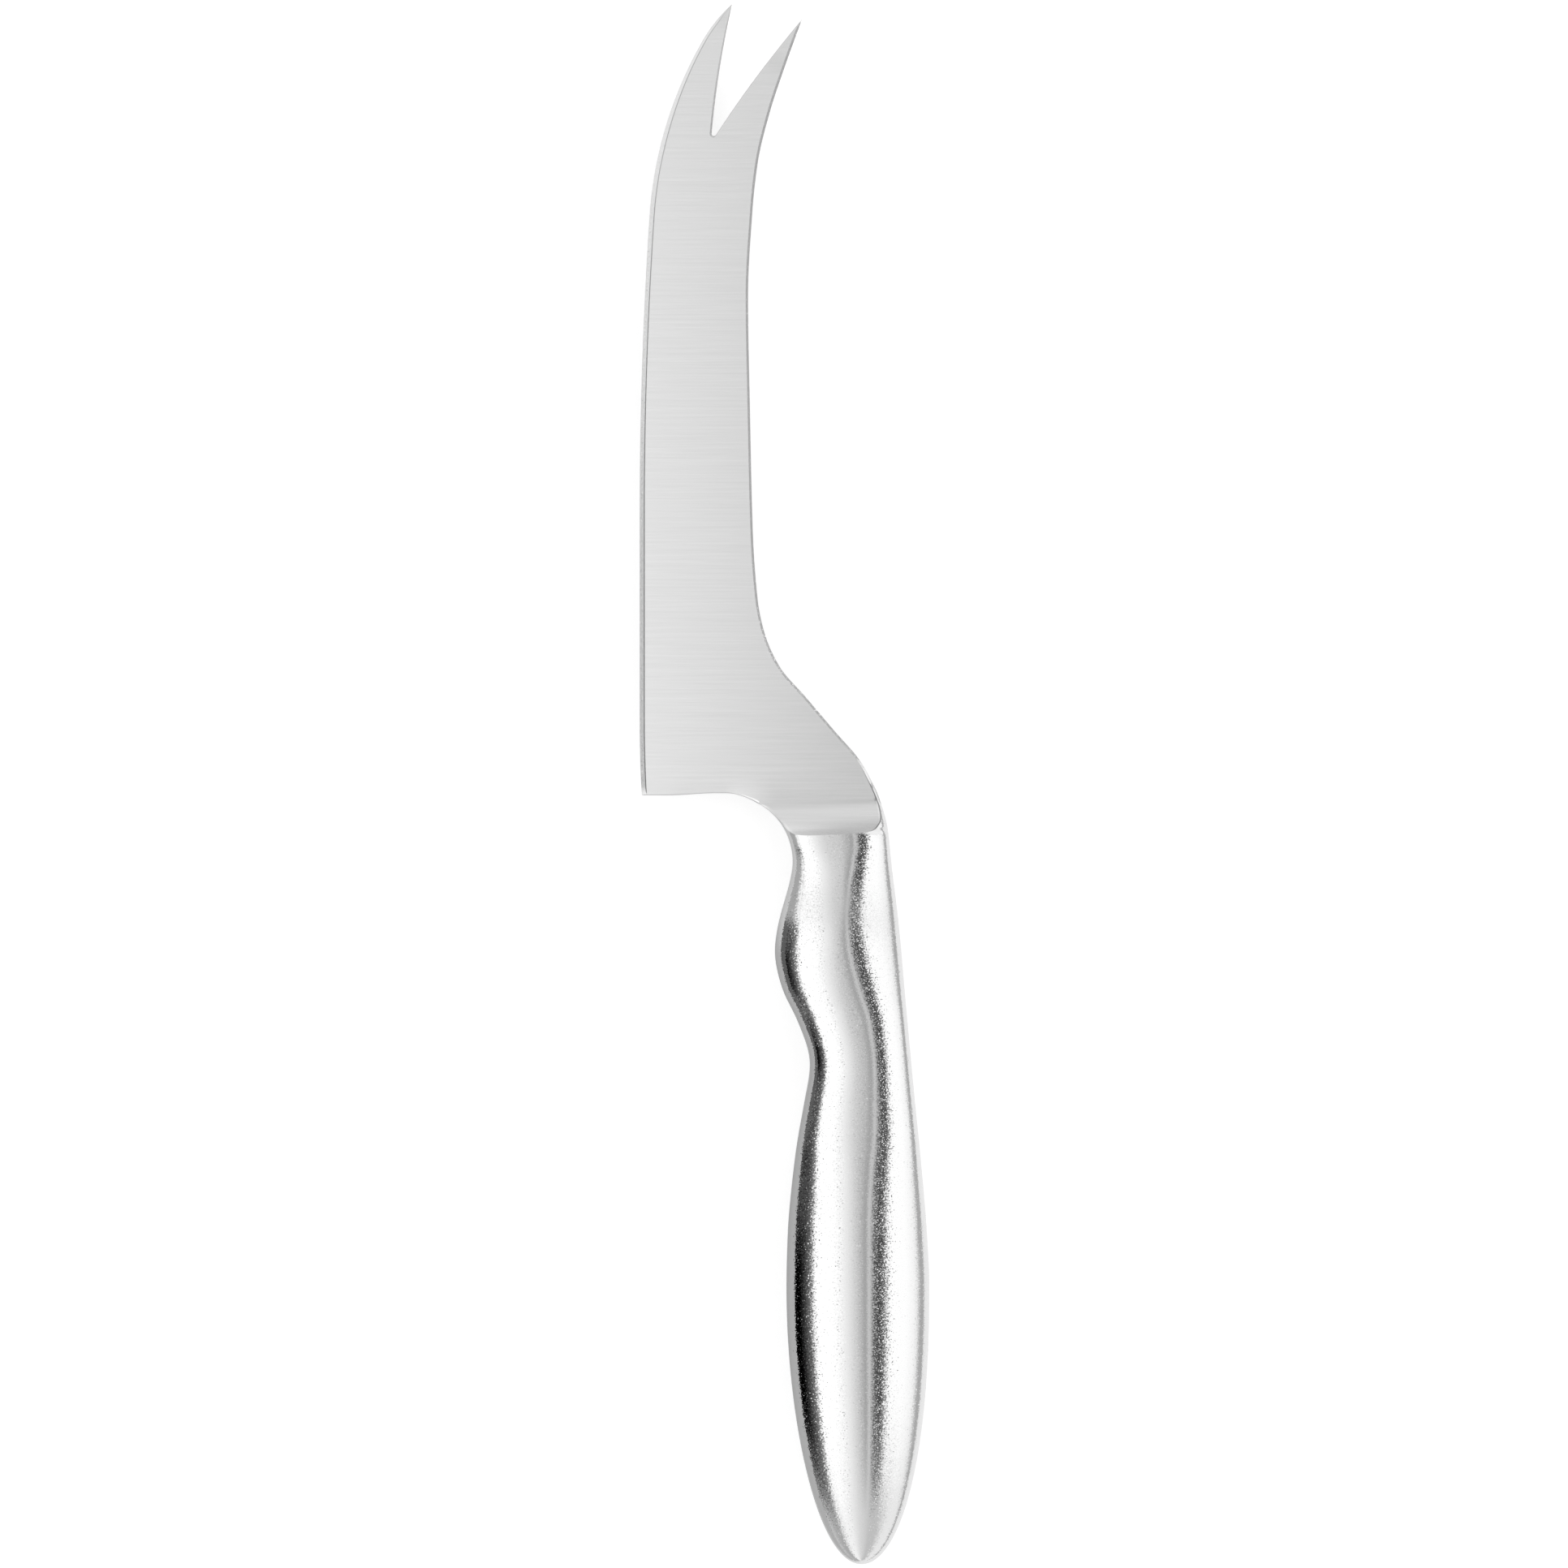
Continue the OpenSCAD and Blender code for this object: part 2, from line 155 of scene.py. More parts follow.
@dataclass
class KnifeForm:
    """The knife's form: driving sizes in millimetres, and the outlines that follow from them.

    The shares are listed points of an outline, as parts of the way from one named point to the
    next; those of the back are parts of the blade's length and width. The powers are pairs of a
    place behind the heel line and the squareness of the section there.
    """

    blade_l: float = 130.0
    blade_w: float = 17.8
    stock_t: float = 2.0
    bevel_w: float = 0.85
    tip_bevel_w: float = 0.5
    edge_t: float = 0.1
    edge_radii: tuple = (730.0, 67.0, 24.0)
    edge_sweeps: tuple = (3.8, 26.0, 18.5)
    fork_gape: float = 11.5
    short_tip_drop: float = 2.5
    notch_d: float = 21.7
    notch_x: float = 12.2
    notch_r: float = 0.4
    notch_bow: float = 0.35
    choil_r: float = 11.0
    neck_front_x: float = 25.2
    neck_back_x: float = 41.35
    neck_t: float = 8.1
    flare_y: float = 32.0
    handle_l: float = 126.3
    bump_y: float = 25.6
    bump_x: float = 22.15
    bump_t: float = 10.2
    waist_y: float = 44.0
    waist_x: float = 28.0
    waist_t: float = 9.5
    belly_y: float = 80.7
    belly_x: float = 24.1
    belly_back_x: float = 47.6
    belly_t: float = 12.7
    butt_x: float = 36.45
    butt_power: float = 2.3
    butt_plan_power: float = 2.05
    wall: float = 1.0
    weld_w: float = 0.8
    joint_y: float = 16.0
    back_shares: tuple = (
        (0.923, 1.345), (0.862, 1.198), (0.8, 1.09), (0.738, 1.04), (0.63, 1.0), (0.49, 1.017), (0.33, 1.045),
    )
    flare_share: float = 1.09
    flare_shares: tuple = (
        (0.123, 0.05), (0.249, 0.159), (0.372, 0.364), (0.495, 0.569), (0.621, 0.779), (0.681, 0.843),
        (0.737, 0.897), (0.793, 0.934), (0.849, 0.966), (0.914, 0.984),
    )
    handle_back_shares: tuple = ((0.14, 0.19), (0.33, 0.38), (0.52, 0.575), (0.71, 0.785), (0.87, 0.935))
    finger_shares: tuple = ((0.2, 0.16), (0.43, 0.46), (0.66, 0.77))
    waist_shares: tuple = ((0.32, 0.195), (0.62, 0.645))
    swell_shares: tuple = ((0.18, 0.26), (0.36, 0.56), (0.55, 0.78), (0.75, 0.94))
    back_powers: tuple = (
        (5.0, 2.45), (6.5, 3.25), (8.0, 3.15), (11.0, 2.65), (15.0, 2.3), (19.0, 2.2), (24.0, 2.35),
        (31.0, 2.75), (37.0, 3.15), (44.0, 3.05), (54.0, 3.0), (63.0, 2.6), (72.0, 2.45), (85.0, 2.4),
    )
    finger_powers: tuple = (
        (2.0, 3.2), (8.0, 4.4), (11.0, 3.7), (15.0, 3.05), (19.5, 2.6), (24.0, 2.4), (31.0, 2.55),
        (37.0, 2.7), (44.0, 2.85), (54.0, 2.75), (63.0, 2.45), (72.0, 2.4),
    )
    front_y: float = 1.0
    front_t: float = 5.2
    front_end: float = 5.8
    heel_in: float = 0.33
    heel_run: float = 12.0
    heel_rise: float = 0.36
    heel_low_x: float = 4.5
    heel_high_x: float = 12.5
    polish: float = 1.2
    polish_step: float = 0.1
    polish_spreads: float = 4.0
    polish_front: tuple = (4.0, 9.0)
    polish_butt: tuple = (16.0, 9.0)
    nudge: float = 0.05
    end_gap: float = 0.02

    def __post_init__(self) -> None:
        """Works out the curves once."""
        self.long_tip = self.edge_end(2)
        self.short_tip = np.array([self.long_tip[0] + self.fork_gape, self.blade_l - self.short_tip_drop])
        flare = (-self.flare_y, self.flare_share * self.blade_w)
        neck, crest = (self.choil_r, self.neck_back_x), (self.belly_y, self.belly_back_x)
        finger, bump = (self.choil_r, self.neck_front_x), (self.bump_y, self.bump_x)
        waist, belly = (self.waist_y, self.waist_x), (self.belly_y, self.belly_x)
        back = [(-self.short_tip[1], self.short_tip[0])]
        back += [(-s * self.blade_l, v * self.blade_w) for s, v in self.back_shares]
        back += self._from(flare, self.flare_shares, neck) + self._from(neck, self.handle_back_shares, crest)
        front = self._from(finger, self.finger_shares, bump) + self._from(bump, self.waist_shares, waist)
        front += self._from(waist, self.swell_shares, belly)
        thick = (
            (self.front_y, self.front_t), (self.front_end, self.neck_t), (self.choil_r, self.neck_t),
            (self.bump_y, self.bump_t), (self.waist_y, self.waist_t), (self.belly_y, self.belly_t),
        )
        self._back = Curve([*back, crest], free_start=True)
        self._front = Curve([*front, belly])
        self._thick = Curve([(place, t / 2) for place, t in thick])
        self._back_power = Curve(self.back_powers)
        self._finger_power = Curve(self.finger_powers)
        self._polished = self._polish_shifts()

    @staticmethod
    def _from(start: Sequence[float], shares: Sequence, end: Sequence[float]) -> list:
        """The start, and the points at shares of the way from it to the end."""
        (x0, v0), (x1, v1) = start, end
        return [start] + [(x0 + s * (x1 - x0), v0 + v * (v1 - v0)) for s, v in shares]

    def _polish_shifts(self) -> dict:
        """How far polishing moves the middle, the half width and the half thickness at each place.

        Returns:
            Places behind the heel line, and the shifts there by name.
        """
        step = self.polish_step
        reach_end = self.polish_spreads * self.polish
        places = np.arange(0.0, self.handle_l, step)
        reach = np.arange(-reach_end, reach_end + step / 2, step)
        weights = np.exp(-0.5 * (reach / self.polish) ** 2)
        weights /= weights.sum()
        butt_start, butt_end = (self.handle_l - left for left in self.polish_butt)
        fade = blend_step(places, *self.polish_front) * (1 - blend_step(places, butt_start, butt_end))
        shifts = {"places": places}
        exact = {"mid": self._mid_exact, "half_w": self._half_w_exact, "half_t": self._half_t_exact}
        for name, read in exact.items():
            around = read(np.clip(places[:, None] + reach[None, :], 0.0, self.handle_l))
            shifts[name] = fade * (around @ weights - read(places))
        return shifts

    @property
    def butt_l(self) -> float:
        """Length from the widest part to the end of the butt."""
        return self.handle_l - self.belly_y

    @property
    def half_stock(self) -> float:
        """Half the thickness of the sheet."""
        return self.stock_t / 2

    def edge_turn(self, k: int) -> float:
        """Direction of the edge at the start of arc k, in radians from straight up."""
        return math.radians(sum(self.edge_sweeps[:k]))

    def edge_centre(self, k: int) -> np.ndarray:
        """Centre of arc k of the cutting edge.

        Args:
            k: number of the arc, from the heel.

        Returns:
            Its x and up.
        """
        start = self.edge_end(k - 1)
        turn = self.edge_turn(k)
        return start + self.edge_radii[k] * np.array([math.cos(turn), -math.sin(turn)])

    def edge_end(self, k: int) -> np.ndarray:
        """End of arc k of the cutting edge; arc -1 is the straight stretch.

        Args:
            k: number of the arc, from the heel.

        Returns:
            Its x and up.
        """
        steps = [
            self.edge_radii[i] * np.array([
                math.cos(self.edge_turn(i)) - math.cos(self.edge_turn(i + 1)),
                math.sin(self.edge_turn(i + 1)) - math.sin(self.edge_turn(i)),
            ])
            for i in range(len(self.edge_radii))
        ]
        straight_l = self.blade_l - sum(s[1] for s in steps)
        return np.array([0.0, straight_l]) + sum(steps[: k + 1], np.zeros(2))

    def back_x(self, behind: np.ndarray) -> np.ndarray:
        """The back of the blade and the handle."""
        return self._back(behind)

    def finger_x(self, behind: np.ndarray) -> np.ndarray:
        """The choil's quarter round, then the finger side of the handle.

        Args:
            behind: places behind the heel line.

        Returns:
            The x of the outline.
        """
        behind = np.asarray(behind, float)
        r = self.choil_r
        arc = self.neck_front_x - r + np.sqrt(np.maximum(r**2 - (np.minimum(behind, r) - r) ** 2, 0.0))
        return np.where(behind < r, arc, self._front(behind))

    def _butt_share(self, behind: np.ndarray) -> np.ndarray:
        """How far into the rounded butt a place lies, from 0 to 1."""
        return np.clip((np.asarray(behind, float) - self.belly_y) / self.butt_l, 0.0, 1.0)

    def _mid_exact(self, behind: np.ndarray) -> np.ndarray:
        """Middle of the sections before polishing.

        Args:
            behind: places behind the heel line.

        Returns:
            The x of the middle.
        """
        share = self._butt_share(behind)
        belly_mid = (self.belly_x + self.belly_back_x) / 2
        butt = belly_mid + (self.butt_x - belly_mid) * share**2 * (3 - 2 * share)
        return np.where(share > 0, butt, (self.finger_x(behind) + self.back_x(behind)) / 2)

    def _half_w_exact(self, behind: np.ndarray) -> np.ndarray:
        """Half the width of the sections before polishing.

        Args:
            behind: places behind the heel line.

        Returns:
            The half width.
        """
        share = self._butt_share(behind)
        belly_half_w = (self.belly_back_x - self.belly_x) / 2
        butt = belly_half_w * (1 - share**self.butt_plan_power) ** (1 / self.butt_plan_power)
        return np.where(share > 0, butt, (self.back_x(behind) - self.finger_x(behind)) / 2)

    def _half_t_exact(self, behind: np.ndarray) -> np.ndarray:
        """Half the thickness of the sections before polishing.

        Args:
            behind: places behind the heel line.

        Returns:
            The half thickness.
        """
        share = self._butt_share(behind)
        butt = self.belly_t / 2 * (1 - share**self.butt_power) ** (1 / self.butt_power)
        return np.where(share > 0, butt, self._thick(behind))

    def _shift(self, name: str, behind: np.ndarray) -> np.ndarray:
        """What polishing does to one of the sizes at a place."""
        return np.interp(behind, self._polished["places"], self._polished[name])

    def mid_x(self, behind: np.ndarray) -> np.ndarray:
        """Middle of the sections."""
        return self._mid_exact(behind) + self._shift("mid", behind)

    def half_w(self, behind: np.ndarray) -> np.ndarray:
        """Half the width of the sections."""
        return self._half_w_exact(behind) + self._shift("half_w", behind)

    def half_t(self, behind: np.ndarray) -> np.ndarray:
        """Half the thickness of the sections."""
        return self._half_t_exact(behind) + self._shift("half_t", behind)

    def power(self, behind: np.ndarray, side: np.ndarray) -> np.ndarray:
        """Squareness of the sections: 2 is an ellipse.

        Args:
            behind: places behind the heel line.
            side: above 0 for the back's half of the section, else the finger side's.

        Returns:
            The exponent of the section's curve.
        """
        return np.where(np.asarray(side) > 0, self._back_power(behind), self._finger_power(behind))

    def half_w_at(self, behind: np.ndarray, z: np.ndarray, side: int) -> np.ndarray:
        """Half the width of the sections at a height above the middle plane, on one side.

        Args:
            behind: places behind the heel line.
            z: the height.
            side: 1 for the back and -1 for the finger side.

        Returns:
            The half width.
        """
        p = self.power(behind, side)
        share = np.clip(np.abs(z) / np.maximum(self.half_t(behind), TINY), 0.0, 1.0)
        return self.half_w(behind) * (1 - share**p) ** (1 / p)

    def low_angle(self, behind: float, z: float, side: int, inset: float = 0.0) -> float:
        """Angle from the middle plane at which a side of the section reaches a height.

        Args:
            behind: place behind the heel line.
            z: the height.
            side: 1 for the back and -1 for the finger side.
            inset: how far inside the surface.

        Returns:
            The angle in radians.
        """
        share = min(max(z / max(float(self.half_t(behind)) - inset, TINY), 0.0), 1.0)
        return math.asin(share ** (float(self.power(behind, side)) / 2))

    def butt_place(self, height: float) -> float:
        """Place where the butt has thinned down to a height above the middle plane.

        Args:
            height: the height.

        Returns:
            The place behind the heel line.
        """
        share = (1 - (height / (self.belly_t / 2)) ** self.butt_power) ** (1 / self.butt_power)
        return self.belly_y + self.butt_l * share

    def envelope(self, behind: np.ndarray, angle: np.ndarray, inset: float = 0.0) -> np.ndarray:
        """Points of the handle's surface.

        Args:
            behind: places behind the heel line.
            angle: angles round the section in radians, from the back over the crown.
            inset: how far inside the surface.

        Returns:
            Working points in an array whose last axis is x, up, z.
        """
        behind, angle = np.broadcast_arrays(np.asarray(behind, float), np.asarray(angle, float))
        w = np.maximum(self.half_w(behind) - inset, 0.0)
        t = np.maximum(self.half_t(behind) - inset, 0.0)
        c, s = np.cos(angle), np.sin(angle)
        p = self.power(behind, c)
        x = self.mid_x(behind) + w * np.sign(c) * np.abs(c) ** (2 / p)
        z = t * np.sign(s) * np.abs(s) ** (2 / p)
        return np.stack([x, -behind, z], axis=-1)

    def envelope_normal(self, points: np.ndarray) -> np.ndarray:
        """Outward normals of the handle's surface at working points on it.

        Args:
            points: the points, in an array whose last axis is x, up, z.

        Returns:
            Their normals.
        """
        x, behind, z = points[..., 0], -points[..., 1], points[..., 2]
        nudge = self.nudge
        normal = np.stack([
            self._level(x + nudge, behind, z) - self._level(x - nudge, behind, z),
            self._level(x, behind - nudge, z) - self._level(x, behind + nudge, z),
            self._level(x, behind, z + nudge) - self._level(x, behind, z - nudge),
        ], axis=-1)
        return normal / np.maximum(np.linalg.norm(normal, axis=-1, keepdims=True), TINY)

    def _level(self, x: np.ndarray, behind: np.ndarray, z: np.ndarray) -> np.ndarray:
        """How far out of the handle's surface a point lies; it is 1 on the surface.

        Args:
            x: the point's x.
            behind: its place behind the heel line.
            z: its height above the middle plane.

        Returns:
            The share of the way out to the surface.
        """
        inside = np.minimum(behind, self.handle_l - self.end_gap)
        away = x - self.mid_x(inside)
        p = self.power(inside, away)
        u = np.abs(away) / self.half_w(inside)
        v = np.abs(z) / self.half_t(inside)
        return (u**p + v**p) ** (1 / p)

    def ring_places(self, start: float, end: float, front: int, butt: int) -> np.ndarray:
        """Places of the rings of a loft, even up to the widest part and closing up round the butt.

        Args:
            start: first place.
            end: last place, in the butt.
            front: rings ahead of the widest part.
            butt: steps behind it.

        Returns:
            The places.
        """
        last = math.asin(min((end - self.belly_y) / self.butt_l, 1.0))
        ahead = np.linspace(start, self.belly_y, front, endpoint=False)
        return np.concatenate([ahead, self.belly_y + self.butt_l * np.sin(np.linspace(0.0, last, butt))])

    def heel_shift(self, up: np.ndarray) -> np.ndarray:
        """How far the cutting edge draws in towards the heel."""
        return self.heel_in * np.clip(1 - np.asarray(up, float) / self.heel_run, 0.0, 1.0) ** 2

    def heel_up(self, x: np.ndarray) -> np.ndarray:
        """Height of the heel's lower edge, which rises a little before the choil."""
        return self.heel_rise * blend_step(x, self.heel_low_x, self.heel_high_x)

    def to_frame(self, points: np.ndarray) -> np.ndarray:
        """Working points in millimetres, as points of the frame in metres."""
        shift = [-self.belly_back_x / 2, (self.handle_l - self.blade_l) / 2, self.belly_t / 2]
        return (np.asarray(points, float) + np.array(shift)) * MM


def new_object(name: str, points: Sequence, faces: Sequence) -> bpy.types.Object:
    """Adds a mesh object to the scene.

    Args:
        name: name of the object and its mesh.
        points: its points in metres.
        faces: its faces, as numbers of points.

    Returns:
        The object.
    """
    mesh = bpy.data.meshes.new(name)
    mesh.from_pydata(points, [], faces)
    obj = bpy.data.objects.new(name, mesh)
    bpy.context.scene.collection.objects.link(obj)
    return obj


class Skin:
    """Mesh under construction: it joins points that coincide and keeps facets and finishes apart."""

    ROUNDING = 4

    def __init__(self, form: KnifeForm) -> None:
        """Starts an empty skin for a form.

        Args:
            form: the knife's form.
        """
        self._form = form
        self._index: dict = {}
        self._points: list = []
        self._faces: list = []
        self._normals: list = []
        self._regions: list = []
        self._finishes: list = []

    def _point(self, point: np.ndarray) -> int:
        """Number of a point, made if it is new.

        Args:
            point: the working point.

        Returns:
            Its number.
        """
        key = tuple(np.round(point, self.ROUNDING) + 0.0)
        if key not in self._index:
            self._index[key] = len(self._points)
            self._points.append(point)
        return self._index[key]

    def face(
        self, corners: Sequence, normals: Optional[Sequence] = None, region: str = "", finish: int = 0
    ) -> None:
        """Adds one face.

        Args:
            corners: working points, anticlockwise seen from outside.
            normals: normal at each corner, or None for the face's own smooth shading.
            region: faces of different regions meet at a crisp edge.
            finish: number of the material.
        """
        kept: dict = {}
        for i, corner in enumerate(corners):
            shade = np.zeros(3) if normals is None else normals[i]
            kept.setdefault(self._point(np.asarray(corner, float)), shade)
        if len(kept) > 2:
            self._faces.append(list(kept))
            self._normals.append(list(kept.values()))
            self._regions.append(region)
            self._finishes.append(int(finish))

    def grid(
        self, points: np.ndarray, normals: Optional[np.ndarray] = None, region: str = "", finish: int = 0,
        flip: bool = False,
    ) -> None:
        """Adds a patch of four-sided faces.

        Args:
            points: rows by columns of working points.
            normals: a normal for each point, or None.
            region: region of the faces.
            finish: number of the material.
            flip: whether the patch is turned over.
        """
        rows, columns = points.shape[:2]
        for r in range(rows - 1):
            for c in range(columns - 1):
                cell = [(r, c), (r + 1, c), (r + 1, c + 1), (r, c + 1)]
                if flip:
                    cell.reverse()
                shades = None if normals is None else [normals[k] for k in cell]
                self.face([points[k] for k in cell], shades, region, finish)

    def build(self, name: str, materials: Sequence[bpy.types.Material], side: Side) -> bpy.types.Object:
        """Makes the object.

        Args:
            name: the piece's name.
            materials: its materials, by finish number.
            side: LOWER mirrors the skin in the middle plane.

        Returns:
            The new object, in the frame.
        """
        flip = np.array([1.0, 1.0, float(side.value)])
        order = side.value
        faces = [f[::order] for f in self._faces]
        shades = [Vector(n * flip) for group in self._normals for n in group[::order]]
        obj = new_object(name, self._form.to_frame(np.array(self._points) * flip).tolist(), faces)
        mesh = obj.data
        for material in materials:
            mesh.materials.append(material)
        mesh.polygons.foreach_set("material_index", self._finishes)
        mesh.polygons.foreach_set("use_smooth", [True] * len(faces))
        self._mark_crisp_edges(mesh)
        if any(shade.length > 0.5 for shade in shades):
            mesh.normals_split_custom_set([tuple(shade) for shade in shades])
        mesh.update()
        return obj

    def _mark_crisp_edges(self, mesh: bpy.types.Mesh) -> None:
        """Marks the edges between regions as sharp.

        Args:
            mesh: the finished mesh.
        """
        beside: dict = {}
        for polygon in mesh.polygons:
            for key in polygon.edge_keys:
                beside.setdefault(key, set()).add(self._regions[polygon.index])
        for edge in mesh.edges:
            edge.use_edge_sharp = len(beside.get(edge.key, ())) > 1


class NodeKit:
    """Short calls for building a node tree."""

    def __init__(self, tree: bpy.types.NodeTree) -> None:
        """Works on one tree."""
        self.tree = tree

    def fill(self, node: bpy.types.Node, inputs: dict) -> None:
        """Sets inputs of a node, or links them.

        Args:
            node: the node.
            inputs: values or sockets by input name or number.
        """
        for key, value in inputs.items():
            if isinstance(value, bpy.types.NodeSocket):
                self.tree.links.new(value, node.inputs[key])
            else:
                node.inputs[key].default_value = value

    def add(self, kind: str, inputs: Optional[dict] = None, **settings: object) -> bpy.types.Node:
        """Adds a node.

        Args:
            kind: the node's type.
            inputs: values or sockets by input name or number.
            settings: the node's own settings.

        Returns:
            The node.
        """
        node = self.tree.nodes.new(kind)
        for key, value in settings.items():
            setattr(node, key, value)
        self.fill(node, inputs or {})
        return node

    def math(self, operation: str, *values: object) -> bpy.types.NodeSocket:
        """Adds a Math node and returns its result."""
        return self.add("ShaderNodeMath", dict(enumerate(values)), operation=operation).outputs[0]

    def vector(self, operation: str, inputs: dict) -> bpy.types.Node:
        """Adds a Vector Math node."""
        return self.add("ShaderNodeVectorMath", inputs, operation=operation)

    def place(self) -> bpy.types.NodeSocket:
        """Adds the place on the object."""
        return self.add("ShaderNodeTexCoord").outputs["Object"]

    def fade(
        self, value: object, ends: Sequence[float], to: Sequence[float] = (0.0, 1.0)
    ) -> bpy.types.NodeSocket:
        """Adds a smooth change between two values.

        Args:
            value: the socket that drives it.
            ends: values of the socket where the change starts and ends.
            to: results there.

        Returns:
            The result.
        """
        inputs = dict(enumerate((value, *ends, *to)))
        return self.add("ShaderNodeMapRange", inputs, interpolation_type="SMOOTHSTEP").outputs[0]

    def mix(self, share: object, start: object, end: object) -> bpy.types.NodeSocket:
        """Adds a value between two values."""
        return self.add("ShaderNodeMix", {0: share, 2: start, 3: end}).outputs[0]

    def grey(self, value: object) -> bpy.types.NodeSocket:
        """Adds the grey of a brightness."""
        return self.add("ShaderNodeCombineColor", {0: value, 1: value, 2: value}).outputs[0]

    def ramp(self, value: object, stops: Sequence[Sequence[float]]) -> bpy.types.NodeSocket:
        """Adds a grey Color Ramp.

        Args:
            value: the socket that drives it, from 0 to 1.
            stops: pairs of place and grey.

        Returns:
            Its colour.
        """
        node = self.add("ShaderNodeValToRGB", {0: value})
        elements = node.color_ramp.elements
        while len(elements) < len(stops):
            elements.new(1.0)
        for element, (place, grey) in zip(elements, stops):
            element.position = place
            element.color = (grey, grey, grey, 1.0)
        return node.outputs[0]


def new_group(name: str, inputs: dict, outputs: dict) -> tuple:
    """Starts a shader node group.

    Args:
        name: the group's name.
        inputs: default value of each number that goes in, by name.
        outputs: socket type by name.

    Returns:
        The group's kit, its inputs as sockets, and its output node.
    """
    tree = bpy.data.node_groups.new(name, "ShaderNodeTree")
    for key, value in inputs.items():
        socket = tree.interface.new_socket(name=key, in_out="INPUT", socket_type="NodeSocketFloat")
        socket.default_value = value
    for key, kind in outputs.items():
        tree.interface.new_socket(name=key, in_out="OUTPUT", socket_type=kind)
    kit = NodeKit(tree)
    return kit, kit.add("NodeGroupInput").outputs, kit.add("NodeGroupOutput")


def new_material(name: str, values: dict) -> tuple:
    """Starts a material.

    Args:
        name: the material's name.
        values: values of its Principled shader, by name.

    Returns:
        The material, its kit and its Principled shader.
    """
    material = bpy.data.materials.new(name)
    material.use_nodes = True
    kit = NodeKit(material.node_tree)
    shader = kit.tree.nodes["Principled BSDF"]
    kit.fill(shader, values)
    return material, kit, shader


def toned(kit: NodeKit, noise: bpy.types.Node, depth: bpy.types.NodeSocket) -> bpy.types.NodeSocket:
    """Tone round 1 that a noise makes lighter and darker by half a depth.

    Args:
        noise: the noise.
        depth: the depth.

    Returns:
        The tone.
    """
    return kit.math("ADD", kit.math("MULTIPLY", kit.math("SUBTRACT", noise.outputs[0], 0.5), depth), 1.0)


def grain_group(
    usual_length: float = 0.2, flank: tuple = (0.045, 0.085), crown_share: float = 0.12
) -> bpy.types.NodeTree:
    """Satin grain: a fine random tilt of the surface, and a soft speckle of its tone.

    The tilt is weak on the level crown, where the polish is finest, and full on the flanks.

    Args:
        usual_length: length of the noise at which the tilt is full.
        flank: leans of the surface where the tilt starts to grow and is full.
        crown_share: share of the tilt on the crown.

    Returns:
        The node group.
    """
    kit, given, result = new_group(
        "Satin grain", {"Grains per metre": 4000.0, "Tilt": 0.05, "Speckle": 0.1},
        {"Normal": "NodeSocketVector", "Tone": "NodeSocketFloat"},
    )
    noise = kit.add(
        "ShaderNodeTexNoise", {"Vector": kit.place(), "Scale": given["Grains per metre"], "Detail": 0.0}
    )
    centred = kit.vector("SUBTRACT", {0: noise.outputs["Color"], 1: (0.5, 0.5, 0.5)}).outputs[0]
    length = kit.vector("LENGTH", {0: centred}).outputs["Value"]
    sparse = kit.math("POWER", kit.math("DIVIDE", length, usual_length), 2.0)
    facing = kit.add("ShaderNodeNewGeometry").outputs["Normal"]
    lean = kit.math("ABSOLUTE", kit.add("ShaderNodeSeparateXYZ", {0: facing}).outputs[0])
    near = kit.fade(lean, flank, (crown_share, 1.0))
    strength = kit.math("MULTIPLY", kit.math("MULTIPLY", given["Tilt"], sparse), near)
    tilt = kit.vector("SCALE", {0: centred, "Scale": strength}).outputs[0]
    total = kit.vector("ADD", {0: facing, 1: tilt}).outputs[0]
    unit = kit.vector("NORMALIZE", {0: total}).outputs[0]
    kit.fill(result, {"Normal": unit, "Tone": toned(kit, noise, given["Speckle"])})
    return kit.tree


def brushing_group() -> bpy.types.NodeTree:
    """Fine brushing across the blade: long thin lines that differ a little in tone.

    Returns:
        The node group.
    """
    kit, given, result = new_group(
        "Cross brushing", {"Lines per metre": 3500.0, "Stretch": 60.0, "Depth": 0.08},
        {"Tone": "NodeSocketFloat"},
    )
    place = kit.place()
    lines = given["Lines per metre"]
    across = kit.math("DIVIDE", lines, given["Stretch"])
    scale = kit.add("ShaderNodeCombineXYZ", {"X": across, "Y": lines, "Z": across}).outputs[0]
    stretched = kit.vector("MULTIPLY", {0: place, 1: scale}).outputs[0]
    noise = kit.add(
        "ShaderNodeTexNoise", {"Vector": stretched, "Scale": 1.0, "Detail": 3.0, "Roughness": 0.65}
    )
    kit.fill(result, {"Tone": toned(kit, noise, given["Depth"])})
    return kit.tree


class Groups:
    """The node groups that the finishes share, each built once."""

    def __init__(self) -> None:
        """Builds the groups."""
        self.grain = grain_group()
        self.brushing = brushing_group()


